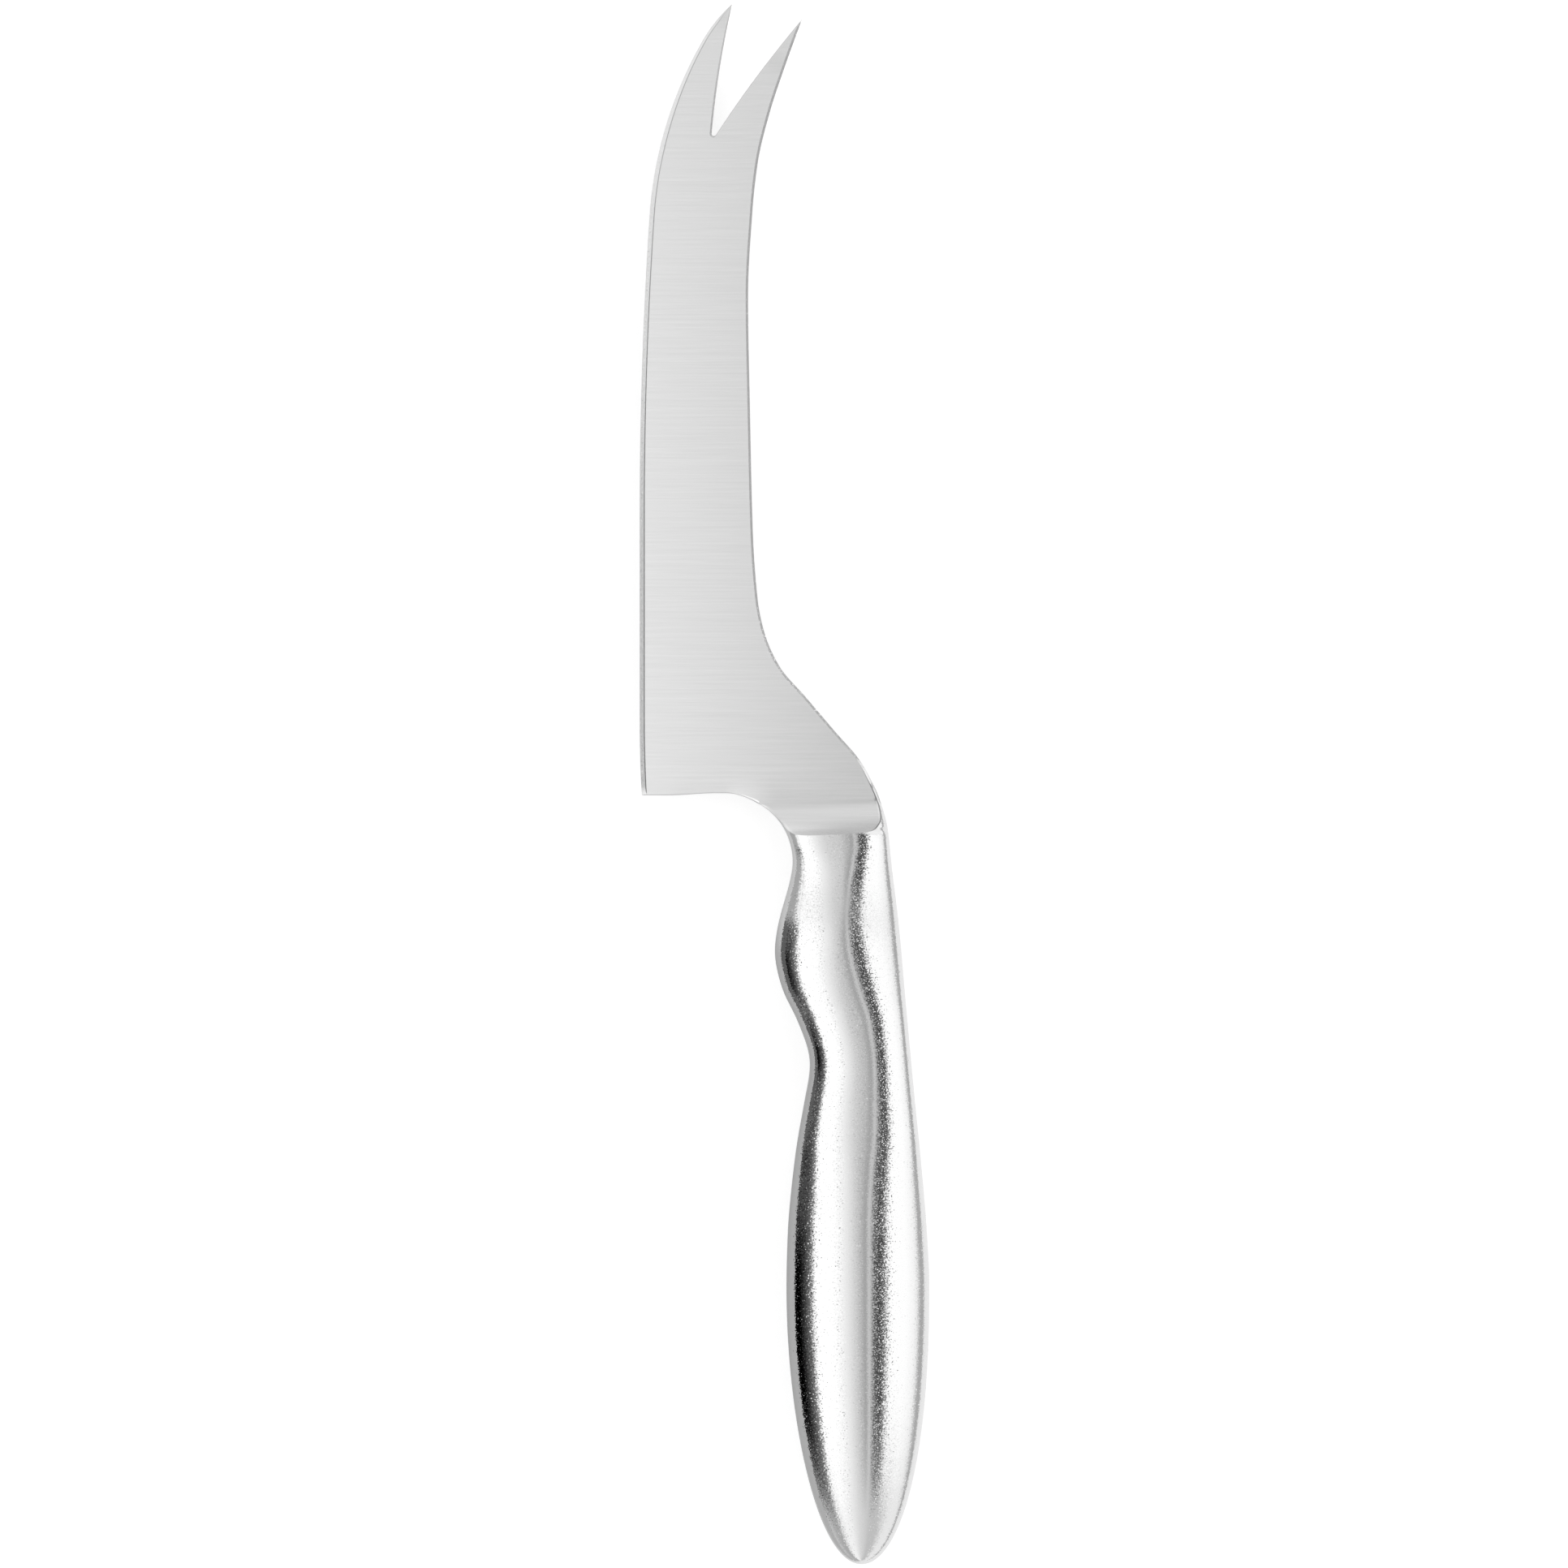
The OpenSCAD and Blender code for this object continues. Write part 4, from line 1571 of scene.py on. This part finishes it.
@dataclass
class Bolster:
    """The two cheeks on the neck, with their ground ramps, and the bead behind them."""

    form: KnifeForm
    ramp_y: float = 0.6
    ramp_r: float = 7.0
    tilt: float = 0.05
    twist: float = 0.1
    tilt_x: float = 33.0
    tilt_end: float = 7.5
    straight_at: float = 13.0
    shoulder_w: float = 0.6
    shoulder_drop: float = 0.1
    shoulder_opening: float = 0.8
    shoulder_closing: float = 0.5
    shoulder_most: float = 0.3
    shoulder_steps: int = 5
    top_dense: tuple = (0.9, 3)
    row_counts: tuple = (18, 34, 22)
    # Steps across the ramp's shoulder on the back's side that are painted dark as a shade line.
    shade_line_steps: int = 2
    side_steps: int = 24
    across_steps: int = 22
    skew_passes: int = 8
    bead_rings: int = 4
    bead_steps: int = 160

    @property
    def top_y(self) -> float:
        """Place where the ramp reaches the crown."""
        return float(self._ramp_place(self.form.neck_t / 2))

    def _ramp_z(self, behind: np.ndarray) -> np.ndarray:
        """Height of the ramp above the middle plane.

        Args:
            behind: places behind the heel line.

        Returns:
            The heights.
        """
        run = np.clip(np.asarray(behind, float) - self.ramp_y, 0.0, self.ramp_r)
        z = self.form.half_stock + self.ramp_r - np.sqrt(self.ramp_r**2 - run**2)
        return np.minimum(z, self.form.neck_t / 2)

    def _ramp_place(self, z: np.ndarray) -> np.ndarray:
        """Place where the ramp has reached a height.

        Args:
            z: height above the middle plane.

        Returns:
            The place.
        """
        low = self.form.half_stock + self.ramp_r - np.asarray(z, float)
        return self.ramp_y + np.sqrt(np.maximum(self.ramp_r**2 - low**2, 0.0))

    def _drop(self, row: float) -> float:
        """How far the ramp's shoulders are rounded down on a row.

        Args:
            row: place of the row.

        Returns:
            The drop.
        """
        opening = float(blend_step(row, self.ramp_y, self.ramp_y + self.shoulder_opening))
        left = self.form.neck_t / 2 - self._ramp_z(row)
        return self.shoulder_drop * opening * float(blend_step(left, 0.0, self.shoulder_closing))

    def _skewed(self, row: float, angle: np.ndarray) -> np.ndarray:
        """Points of the handle's surface on a row that runs slightly askew across the neck.

        Args:
            row: place of the row.
            angle: angles round the section.

        Returns:
            The working points.
        """
        lean = self.tilt * (1 - float(blend_step(row, self.tilt_end, self.straight_at)))
        behind = np.full(np.shape(angle), row, float)
        for _ in range(self.skew_passes):
            points = self.form.envelope(behind, angle)
            behind = np.maximum(row - lean * (points[..., 0] - self.tilt_x), 0.0)
        return points

    def _rows(self) -> np.ndarray:
        """Places of the rows: dense where the shoulder closes over the crown.

        Returns:
            The places.
        """
        first, bend = self.top_dense
        ahead, dense, after = self.row_counts
        shares = np.linspace(first, 0.0, dense)
        closing = self._ramp_place(self.form.neck_t / 2 * (1 - shares**bend) ** (1 / bend))
        opening = np.linspace(self.ramp_y, closing[0], ahead)[:-1]
        behind = np.linspace(self.top_y, self.form.joint_y, after)[1:]
        return np.concatenate([opening, closing, behind])

    def _across(self, right: np.ndarray, left: np.ndarray, row: float) -> tuple:
        """One row of the ramp, with its shoulders rounded.

        Args:
            right: end of the row on the back's side.
            left: end of the row on the finger side.
            row: place of the row.

        Returns:
            The row's points and its normals.
        """
        width = max(float(np.linalg.norm(right - left)), TINY)
        round_w = min(self.shoulder_w, self.shoulder_most * width)
        near = round_w * np.linspace(0.0, 1.0, self.shoulder_steps + 1)[:-1]
        middle = np.linspace(round_w, width - round_w, self.across_steps)
        reach = np.concatenate([near, middle, width - near[::-1]])
        points = right + (left - right) * (reach / width)[:, None]
        border = 1 - np.clip(np.minimum(reach, width - reach) / round_w, 0.0, 1.0)
        drop = self._drop(row)
        points[:, 2] += drop * (1 - border**2)
        sine = (self.ramp_r + self.form.half_stock - self._ramp_z(row)) / self.ramp_r
        steep = math.sqrt(max(1 - sine**2, 0.0)) / sine
        side = np.where(reach < width / 2, 1.0, -1.0) * 2 * drop / self.shoulder_w * border
        lean = steep * (self.tilt + self.twist * (1 - 2 * reach / width))
        normals = np.stack([side + lean, np.full_like(side, steep), np.ones_like(side)], axis=-1)
        return points, normals / np.linalg.norm(normals, axis=-1, keepdims=True)

    def _row(self, row: float) -> tuple:
        """One row of a cheek.

        Args:
            row: its place.

        Returns:
            Points of its right side, its left side, the ramp and the underside, and the ramp's normals.
        """
        form = self.form
        z = float(self._ramp_z(row)) - self._drop(row)
        turns = []
        for sign in (1, -1):
            low = form.low_angle(row, form.half_stock, sign)
            high = max(form.low_angle(row, z, sign), low)
            if row >= self.top_y - TINY:
                high = math.pi / 2
            turns.append(np.linspace(low, high, self.side_steps))
        right = self._skewed(row, turns[0])
        left = self._skewed(row, math.pi - turns[1][::-1])
        across, normals = self._across(right[-1], left[0], row)
        share = np.linspace(0.0, 1.0, self.across_steps)[:, None]
        return right, left, across, right[0] * (1 - share) + left[-1] * share, normals

    def cheek(self, side: Side, finishes: Finishes) -> bpy.types.Object:
        """Makes one cheek.

        Args:
            side: the flank that it is welded on.
            finishes: the knife's materials.

        Returns:
            The piece.
        """
        rows = self._rows()
        rights, lefts, ramps, lows, shades = map(np.array, zip(*map(self._row, rows)))
        ground = int((rows <= self.top_y + TINY).sum())
        skin = Skin(self.form)
        for sides in (rights, lefts):
            skin.grid(sides, self.form.envelope_normal(sides), "side", Steel.SATIN, flip=True)
        # The ramp's first steps, at its shoulder on the back's side, are painted dark: a painted shade line.
        for part, finish in (
            (slice(None, self.shade_line_steps + 1), Steel.LINE), (slice(self.shade_line_steps, None), Steel.BRUSHED),
        ):
            skin.grid(ramps[:ground, part], shades[:ground, part], "ramp", finish, flip=True)
        skin.grid(lows, region="underside", finish=Steel.SATIN)
        rear = list(lows[-1][::-1]) + list(rights[-1][1:]) + list(lefts[-1][1:-1])
        skin.face(rear[::-1], region="rear", finish=Steel.SATIN)
        steels = [finishes.blade, finishes.handle, finishes.corner]
        return skin.build(f"cheek_{side.name.lower()}", steels, side)

    def neck_weld(self, finishes: Finishes) -> bpy.types.Object:
        """Makes the bead between the cheeks and the shells.

        Args:
            finishes: the knife's materials.

        Returns:
            The piece.
        """
        form = self.form
        angles = np.linspace(0.0, 2 * math.pi, self.bead_steps + 1)
        places = np.linspace(form.joint_y, form.joint_y + form.weld_w, self.bead_rings)
        outer = np.array([form.envelope(b, angles) for b in places])
        inner = np.array([form.envelope(b, angles, form.wall) for b in places])
        skin = Skin(form)
        skin.grid(outer, form.envelope_normal(outer), "outside", flip=True)
        skin.grid(inner, region="inside")
        skin.grid(np.array([inner[0], outer[0]]), region="front", flip=True)
        skin.grid(np.array([outer[-1], inner[-1]]), region="rear", flip=True)
        return skin.build("neck_bead", [finishes.weld], Side.UPPER)


@dataclass
class Handle:
    """The two pressed shells and the bead that joins them edge to edge."""

    form: KnifeForm
    front_rings: int = 150
    butt_rings: int = 90
    round_steps: int = 84
    seam_rows: int = 7
    butt_square: int = 12

    @property
    def start(self) -> float:
        """Place where the shells start."""
        return self.form.joint_y + self.form.weld_w

    def _half_rings(self, places: np.ndarray, inset: float) -> np.ndarray:
        """Upper halves of the sections at the given places, above the seam.

        Args:
            places: places behind the heel line.
            inset: how far inside the surface.

        Returns:
            Rows of working points.
        """
        form = self.form
        rings = []
        half = self.round_steps // 2
        for behind in places:
            back = form.low_angle(behind, form.weld_w / 2, 1, inset)
            finger = form.low_angle(behind, form.weld_w / 2, -1, inset)
            first = np.linspace(back, math.pi / 2, half, endpoint=False)
            last = np.linspace(math.pi / 2, math.pi - finger, half + 1)
            rings.append(form.envelope(behind, np.concatenate([first, last]), inset))
        return np.array(rings)

    def shell(self, side: Side, finishes: Finishes) -> bpy.types.Object:
        """Makes one shell.

        Args:
            side: the side of the handle that it covers.
            finishes: the knife's materials.

        Returns:
            The piece.
        """
        form = self.form
        low = form.weld_w / 2
        walls = []
        for inset in (0.0, form.wall):
            end = form.butt_place(inset + low)
            places = form.ring_places(self.start, end, self.front_rings, self.butt_rings)
            rings = self._half_rings(places, inset)
            rings[-1] = rings[-1].mean(axis=0)
            rings[-1, :, 2] = low
            rings[:, [0, -1], 2] = low
            walls.append(rings)
        outer, inner = walls
        skin = Skin(form)
        skin.grid(outer, form.envelope_normal(outer), "outside", flip=True)
        skin.grid(inner, region="inside")
        skin.grid(np.array([inner[0], outer[0]]), region="front", flip=True)
        skin.grid(np.stack([outer[:, 0], inner[:, 0]], axis=1), region="seam", flip=True)
        skin.grid(np.stack([inner[:, -1], outer[:, -1]], axis=1), region="seam", flip=True)
        return skin.build(f"shell_{side.name.lower()}", [finishes.handle], side)

    def _seam_column(self, behind: float, share: float, sign: int, z: float) -> list:
        """Point of the seam's outside at a height, on one side of the handle.

        Args:
            behind: place, ahead of the widest part.
            share: sine of the way round the butt, used behind the widest part.
            sign: 1 for the back and -1 for the finger side.
            z: height above the middle plane.

        Returns:
            The working point.
        """
        form = self.form
        place = behind
        if share > 0:
            place = form.belly_y + (form.butt_place(abs(z)) - form.belly_y) * share
        wide = float(form.half_w_at(place, z, sign)) if share < 1 else 0.0
        return [float(form.mid_x(place)) + sign * wide, -place, z]

    def _seam_inside(self, behind: float, share: float, sign: int, z: float) -> list:
        """Point of the seam's inside, given like one of its outside.

        Args:
            behind: place, ahead of the widest part.
            share: sine of the way round the butt.
            sign: 1 for the back and -1 for the finger side.
            z: height above the middle plane.

        Returns:
            The working point.
        """
        form = self.form
        place = behind
        if share > 0:
            hollow_end = form.butt_place(form.wall + form.weld_w / 2)
            place = form.belly_y + (hollow_end - form.belly_y) * share
        wide = (float(form.half_w(place)) - form.wall) * (1 - share**self.butt_square)
        return [float(form.mid_x(place)) + sign * wide, -place, z]

    def seam_weld(self, finishes: Finishes) -> bpy.types.Object:
        """Makes the bead between the shells.

        Args:
            finishes: the knife's materials.

        Returns:
            The piece.
        """
        form = self.form
        ahead = [(b, 0.0) for b in np.linspace(self.start, form.belly_y, self.front_rings)]
        round_butt = [(form.belly_y, math.sin(a)) for a in np.linspace(0.0, math.pi / 2, self.butt_rings)]
        half = ahead + round_butt[1:]
        path = [(b, s, -1) for b, s in half] + [(b, s, 1) for b, s in half[-2::-1]]
        heights = np.linspace(-form.weld_w / 2, form.weld_w / 2, self.seam_rows)
        outer = np.array([[self._seam_column(*place, z) for z in heights] for place in path])
        inner = np.array([[self._seam_inside(*place, z) for z in heights[[0, -1]]] for place in path])
        skin = Skin(form)
        skin.grid(outer, form.envelope_normal(outer), "outside")
        skin.grid(inner, region="inside", flip=True)
        skin.grid(np.stack([inner[:, 0], outer[:, 0]], axis=1), region="lower side")
        skin.grid(np.stack([outer[:, -1], inner[:, -1]], axis=1), region="upper side")
        for row, flip in ((0, False), (-1, True)):
            corners = [inner[row, 0], *outer[row], inner[row, -1]]
            skin.face(corners[::-1] if flip else corners, region="end")
        return skin.build("seam_bead", [finishes.weld], Side.UPPER)


@dataclass(frozen=True)
class Studio:
    """White floor, a light tent over it, two glowing cards, the white surroundings and the camera. The
    floor's glow in the steel and the cards are painted reflections.

    The tent is a half tunnel along Y. Its brightness is given by the angle round it, in degrees from
    straight up towards the back, in five tables: beside the handle, beyond the butt, beyond the tips,
    far ahead of them and at the far end. The fades are places along it, in radii, between which one
    table gives way to the next.
    """

    tent_r: float = 1.5
    tent_half_l: float = 60.0
    floor_half: float = 60.0
    floor_grey: float = 0.5
    floor_lift: float = 0.71
    # Glow of the floor seen only in the steel, by place: a painted reflection.
    floor_left: float = 0.1
    floor_neck: float = 0.28
    floor_right: float = 0.55
    floor_front: float = 0.2
    floor_far: float = 0.05
    # Two glowing cards that light nothing and show only in the steel: painted reflections, darker at one end.
    card_x: float = -0.019
    card_z: float = 0.008
    card_end_grey: float = 0.13
    card_end_l: float = 0.005
    neck_reflection_card: tuple = (-0.021, -0.003, 0.036)
    neck_greys: tuple = (0.46, 1.2, 0.022)
    bump_reflection_card: tuple = (-0.058, -0.0187, 0.0165)
    bump_greys: tuple = (0.12, 0.14, 0.008)
    floor_rough: float = 0.9
    floor_neck_y: tuple = (-0.03, -0.016)
    floor_front_y: tuple = (0.005, 0.04)
    floor_middle_x: tuple = (-0.005, 0.015)
    floor_far_x: tuple = (0.042, 0.07)
    tent_steps: int = 48
    tent_gap: float = 0.002
    strip_turn: float = -0.3
    surround: float = 1.0
    camera_h: float = 1.2
    camera_reach: float = 20.0
    sensor: float = 36.0
    mm_per_pixel: float = 2 / 15
    frame_pixels: int = 1932
    edge_pixel: float = 788.2
    heel_pixel: float = 980.0
    beside: tuple = (
        (-90, 0.0), (-68, 0.0), (-59, 0.03), (-51, 0.09), (-44, 0.2), (-40.5, 0.45), (-38, 0.85), (-35, 1.3),
        (-17, 1.3), (-14, 1.27), (-11, 1.22), (-8.5, 1.16), (-4, 1.02), (-1, 0.88), (0.5, 0.76), (2.2, 0.54),
        (3.7, 0.33), (5.4, 0.84), (7, 0.5), (8.5, 0.24), (10.5, 0.07), (14, 0.05), (16.5, 0.22), (18.5, 0.6),
        (20.5, 1.08), (23, 1.25), (44, 1.25), (64, 1.13), (73, 0.98), (80, 0.7), (86, 0.5), (90, 0.45),
    )
    past_butt: tuple = (
        (-90, 0.7), (-62, 0.5), (-44, 0.48), (-34, 0.85), (-23, 1.12), (-12, 1.1), (-4, 0.96), (3, 0.76),
        (10, 0.64), (22, 0.64), (32, 0.82), (45, 0.98), (75, 1.0), (90, 0.85),
    )
    past_tips: tuple = (
        (-90, 0.4), (-60, 0.38), (-50, 0.5), (-40, 0.95), (-35, 1.12), (-12, 1.04), (-6, 0.92), (-3, 0.84),
        (0, 0.72), (3, 0.6), (8, 0.4), (12, 0.28), (16, 0.36), (20, 0.9), (26, 1.05), (64, 1.0), (76, 0.8),
        (86, 0.45),
    )
    far_ahead: tuple = (
        (-90, 0.45), (-46, 0.45), (-41, 0.7), (-37, 1.15), (-34, 1.15), (-30, 0.82), (-26, 0.74), (-18, 0.84),
        (-8, 0.9), (0, 0.86), (14, 0.86), (30, 1.1), (90, 1.1),
    )
    far_end: tuple = ((-90, 1.1), (-12, 1.1), (-4, 0.94), (0, 0.82), (8, 0.75), (25, 0.66), (90, 0.66))
    black_fade: tuple = (-0.8, -0.3)
    strip_fade: tuple = (-0.62, -0.22)
    tips_fade: tuple = (0.06, 0.28)
    far_fade: tuple = (0.13, 0.42)
    end_fade: tuple = (0.6, 2.4)
    haze_fade: tuple = (-0.08, 0.03)
    haze: float = 0.08

    def build(self, form: KnifeForm) -> None:
        """Sets the studio up round a form.

        Args:
            form: the knife's form.
        """
        self._floor()
        self._tent()
        # Painted reflections: glowing cards seen only in the steel.
        self._reflection_card("neck_reflection_card", self.neck_reflection_card, self.neck_greys)
        self._reflection_card("bump_reflection_card", self.bump_reflection_card, self.bump_greys)
        self._world()
        self._camera(form)
        bpy.context.scene.view_settings.view_transform = "Standard"

    def _floor(self) -> None:
        """Lays the floor, white as seen; its glow seen only in the steel is a painted reflection, greyer at
        the left and far out.
        """
        h = self.floor_half
        floor = new_object("floor", [(-h, -h, 0), (h, -h, 0), (h, h, 0), (-h, h, 0)], [(0, 1, 2, 3)])
        material, kit, shader = new_material("White floor", {
            "Base Color": (self.floor_grey,) * 3 + (1.0,), "Roughness": self.floor_rough,
            "Specular IOR Level": 0.0, "Emission Strength": 1.0,
        })
        x, y, _ = kit.add("ShaderNodeSeparateXYZ", {0: kit.place()}).outputs
        # A painted reflection: the floor's glow for rays from the steel, darker to the left and far out.
        near = kit.mix(kit.fade(y, self.floor_front_y), self.floor_right, self.floor_front)
        right = kit.mix(kit.fade(x, self.floor_far_x), near, self.floor_far)
        left = kit.mix(kit.fade(y, self.floor_neck_y), self.floor_left, self.floor_neck)
        painted_reflection = kit.mix(kit.fade(x, self.floor_middle_x), left, right)
        path = kit.add("ShaderNodeLightPath").outputs
        straight = kit.math("MAXIMUM", path["Is Camera Ray"], path["Is Transmission Ray"])
        seen = kit.math("MULTIPLY", straight, self.floor_lift)
        glow = kit.math("ADD", seen, kit.math("MULTIPLY", path["Is Glossy Ray"], painted_reflection))
        kit.fill(shader, {"Emission Color": kit.grey(glow)})
        floor.data.materials.append(material)

    @staticmethod
    def _glowing(piece: bpy.types.Object, name: str, unseen_by: Sequence[str]) -> tuple:
        """Starts the material of a piece of the studio that only gives light.

        Args:
            piece: the piece.
            name: the material's name.
            unseen_by: kinds of ray that pass the piece by.

        Returns:
            The material's kit, the place on the piece by axis, and the material's output node.
        """
        for ray in unseen_by:
            setattr(piece, f"visible_{ray}", False)
        material, kit, shader = new_material(name, {})
        kit.tree.nodes.remove(shader)
        piece.data.materials.append(material)
        axes = kit.add("ShaderNodeSeparateXYZ", {0: kit.place()}).outputs
        return kit, axes, kit.tree.nodes["Material Output"]

    def _tent(self) -> None:
        """Puts up the tent: a half tunnel along the knife whose brightness changes round it."""
        r, half_l = self.tent_r, self.tent_half_l
        turns = np.linspace(-math.pi / 2, math.pi / 2, self.tent_steps + 1)
        points = [
            (r * math.sin(a), end * half_l, r * math.cos(a) + self.tent_gap) for a in turns for end in (-1, 1)
        ]
        faces = [(2 * i, 2 * i + 1, 2 * i + 3, 2 * i + 2) for i in range(self.tent_steps)]
        tent = new_object("light_tent", points, faces)
        kit, axes, result = self._glowing(tent, "Light tent", ("camera", "shadow"))
        turn = kit.math("ARCTAN2", axes["X"], axes["Z"])
        along = kit.math("DIVIDE", axes["Y"], r)
        glow = kit.add("ShaderNodeEmission", {"Strength": self._tent_level(kit, turn, along)})
        kit.fill(result, {0: glow.outputs[0]})

    def _tent_level(
        self, kit: NodeKit, turn: bpy.types.NodeSocket, along: bpy.types.NodeSocket
    ) -> bpy.types.NodeSocket:
        """Brightness of the tent.

        Args:
            kit: the tent's node kit.
            turn: angle round the tent.
            along: place along it, in radii.

        Returns:
            The brightness.
        """
        share = kit.math("ADD", kit.math("DIVIDE", turn, math.pi), 0.5)
        levels = []
        for bands in (self.beside, self.past_butt, self.past_tips, self.far_ahead, self.far_end):
            peak = max(value for _, value in bands)
            shape = kit.ramp(share, [(angle / 180 + 0.5, value / peak) for angle, value in bands])
            levels.append(kit.math("MULTIPLY", shape, peak))
        beside, past_butt, *ahead = levels
        black = kit.fade(along, self.black_fade, (1.0, 0.0))
        strip = kit.fade(along, self.strip_fade, (1.0, 0.0))
        to_butt = kit.mix(kit.math("GREATER_THAN", turn, self.strip_turn), black, strip)
        haze = kit.math("MULTIPLY", kit.fade(along, self.haze_fade), self.haze)
        level = kit.math("MAXIMUM", kit.mix(to_butt, beside, past_butt), haze)
        for fade, bands in zip((self.tips_fade, self.far_fade, self.end_fade), ahead):
            level = kit.mix(kit.fade(along, fade), level, bands)
        return level

    def _reflection_card(self, name: str, place: Sequence[float], greys: Sequence[float]) -> None:
        """Stands a small glowing card to the left of the handle, which lights nothing and is seen only in
        the steel to its right: a painted reflection.

        Args:
            name: the card's name.
            place: its start and end along Y, and its top.
            greys: its brightness at the foot and at the top, and the height where it starts to change.
        """
        (y0, y1, z1), (low, high, change_z) = place, greys
        corners = [(self.card_x, y, z) for y, z in ((y0, self.card_z), (y1, self.card_z), (y1, z1), (y0, z1))]
        card = new_object(name, corners, [(0, 1, 2, 3)])
        kit, axes, result = self._glowing(card, f"Grey of {name}", ("camera", "diffuse", "shadow"))
        grey = kit.mix(kit.fade(axes["Z"], (change_z, z1)), low, high)
        grey = kit.mix(kit.fade(axes["Y"], (y0, y0 + self.card_end_l)), self.card_end_grey, grey)
        glow = kit.add("ShaderNodeEmission", {"Strength": grey}).outputs[0]
        back = kit.add("ShaderNodeNewGeometry").outputs["Backfacing"]
        clear = kit.add("ShaderNodeBsdfTransparent").outputs[0]
        one_sided = kit.add("ShaderNodeMixShader", {0: back, 1: glow, 2: clear})
        kit.fill(result, {0: one_sided.outputs[0]})

    def _world(self) -> None:
        """Makes the surroundings plain white."""
        world = bpy.data.worlds.new("White surroundings")
        bpy.context.scene.world = world
        world.use_nodes = True
        background = world.node_tree.nodes["Background"]
        background.inputs["Color"].default_value = (1.0, 1.0, 1.0, 1.0)
        background.inputs["Strength"].default_value = self.surround

    def _camera(self, form: KnifeForm) -> None:
        """Hangs the camera straight above the knife.

        Args:
            form: the knife's form.
        """
        half = self.frame_pixels / 2
        centre = np.array([half - self.edge_pixel, self.heel_pixel - half, 0]) * self.mm_per_pixel
        spot = form.to_frame(centre)
        data = bpy.data.cameras.new("camera")
        data.sensor_width = self.sensor
        data.lens = self.sensor * self.camera_h / (self.frame_pixels * self.mm_per_pixel * MM)
        data.clip_end = self.camera_reach
        camera = bpy.data.objects.new("camera", data)
        camera.location = (spot[0], spot[1], spot[2] + self.camera_h)
        bpy.context.scene.collection.objects.link(camera)
        bpy.context.scene.camera = camera


def main() -> None:
    """Builds the knife and the studio in order."""
    logging.basicConfig(level=logging.INFO, format="%(message)s")
    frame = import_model()
    form = KnifeForm()
    finishes = Finishes()
    place_piece(Blade(form).build(finishes), "blade")
    bolster = Bolster(form)
    handle = Handle(form)
    for side in Side:
        end = side.name.lower()
        place_piece(bolster.cheek(side, finishes), f"bolster_cheek_{end}")
        place_piece(handle.shell(side, finishes), f"handle_shell_{end}")
    place_piece(handle.seam_weld(finishes), "seam_weld")
    place_piece(bolster.neck_weld(finishes), "neck_weld")
    dress_node(frame, "bolster_pin", finishes.pin)
    dress_node(frame, "handle_filling", finishes.cement)
    Studio().build(form)


if __name__ == "__main__":
    main()
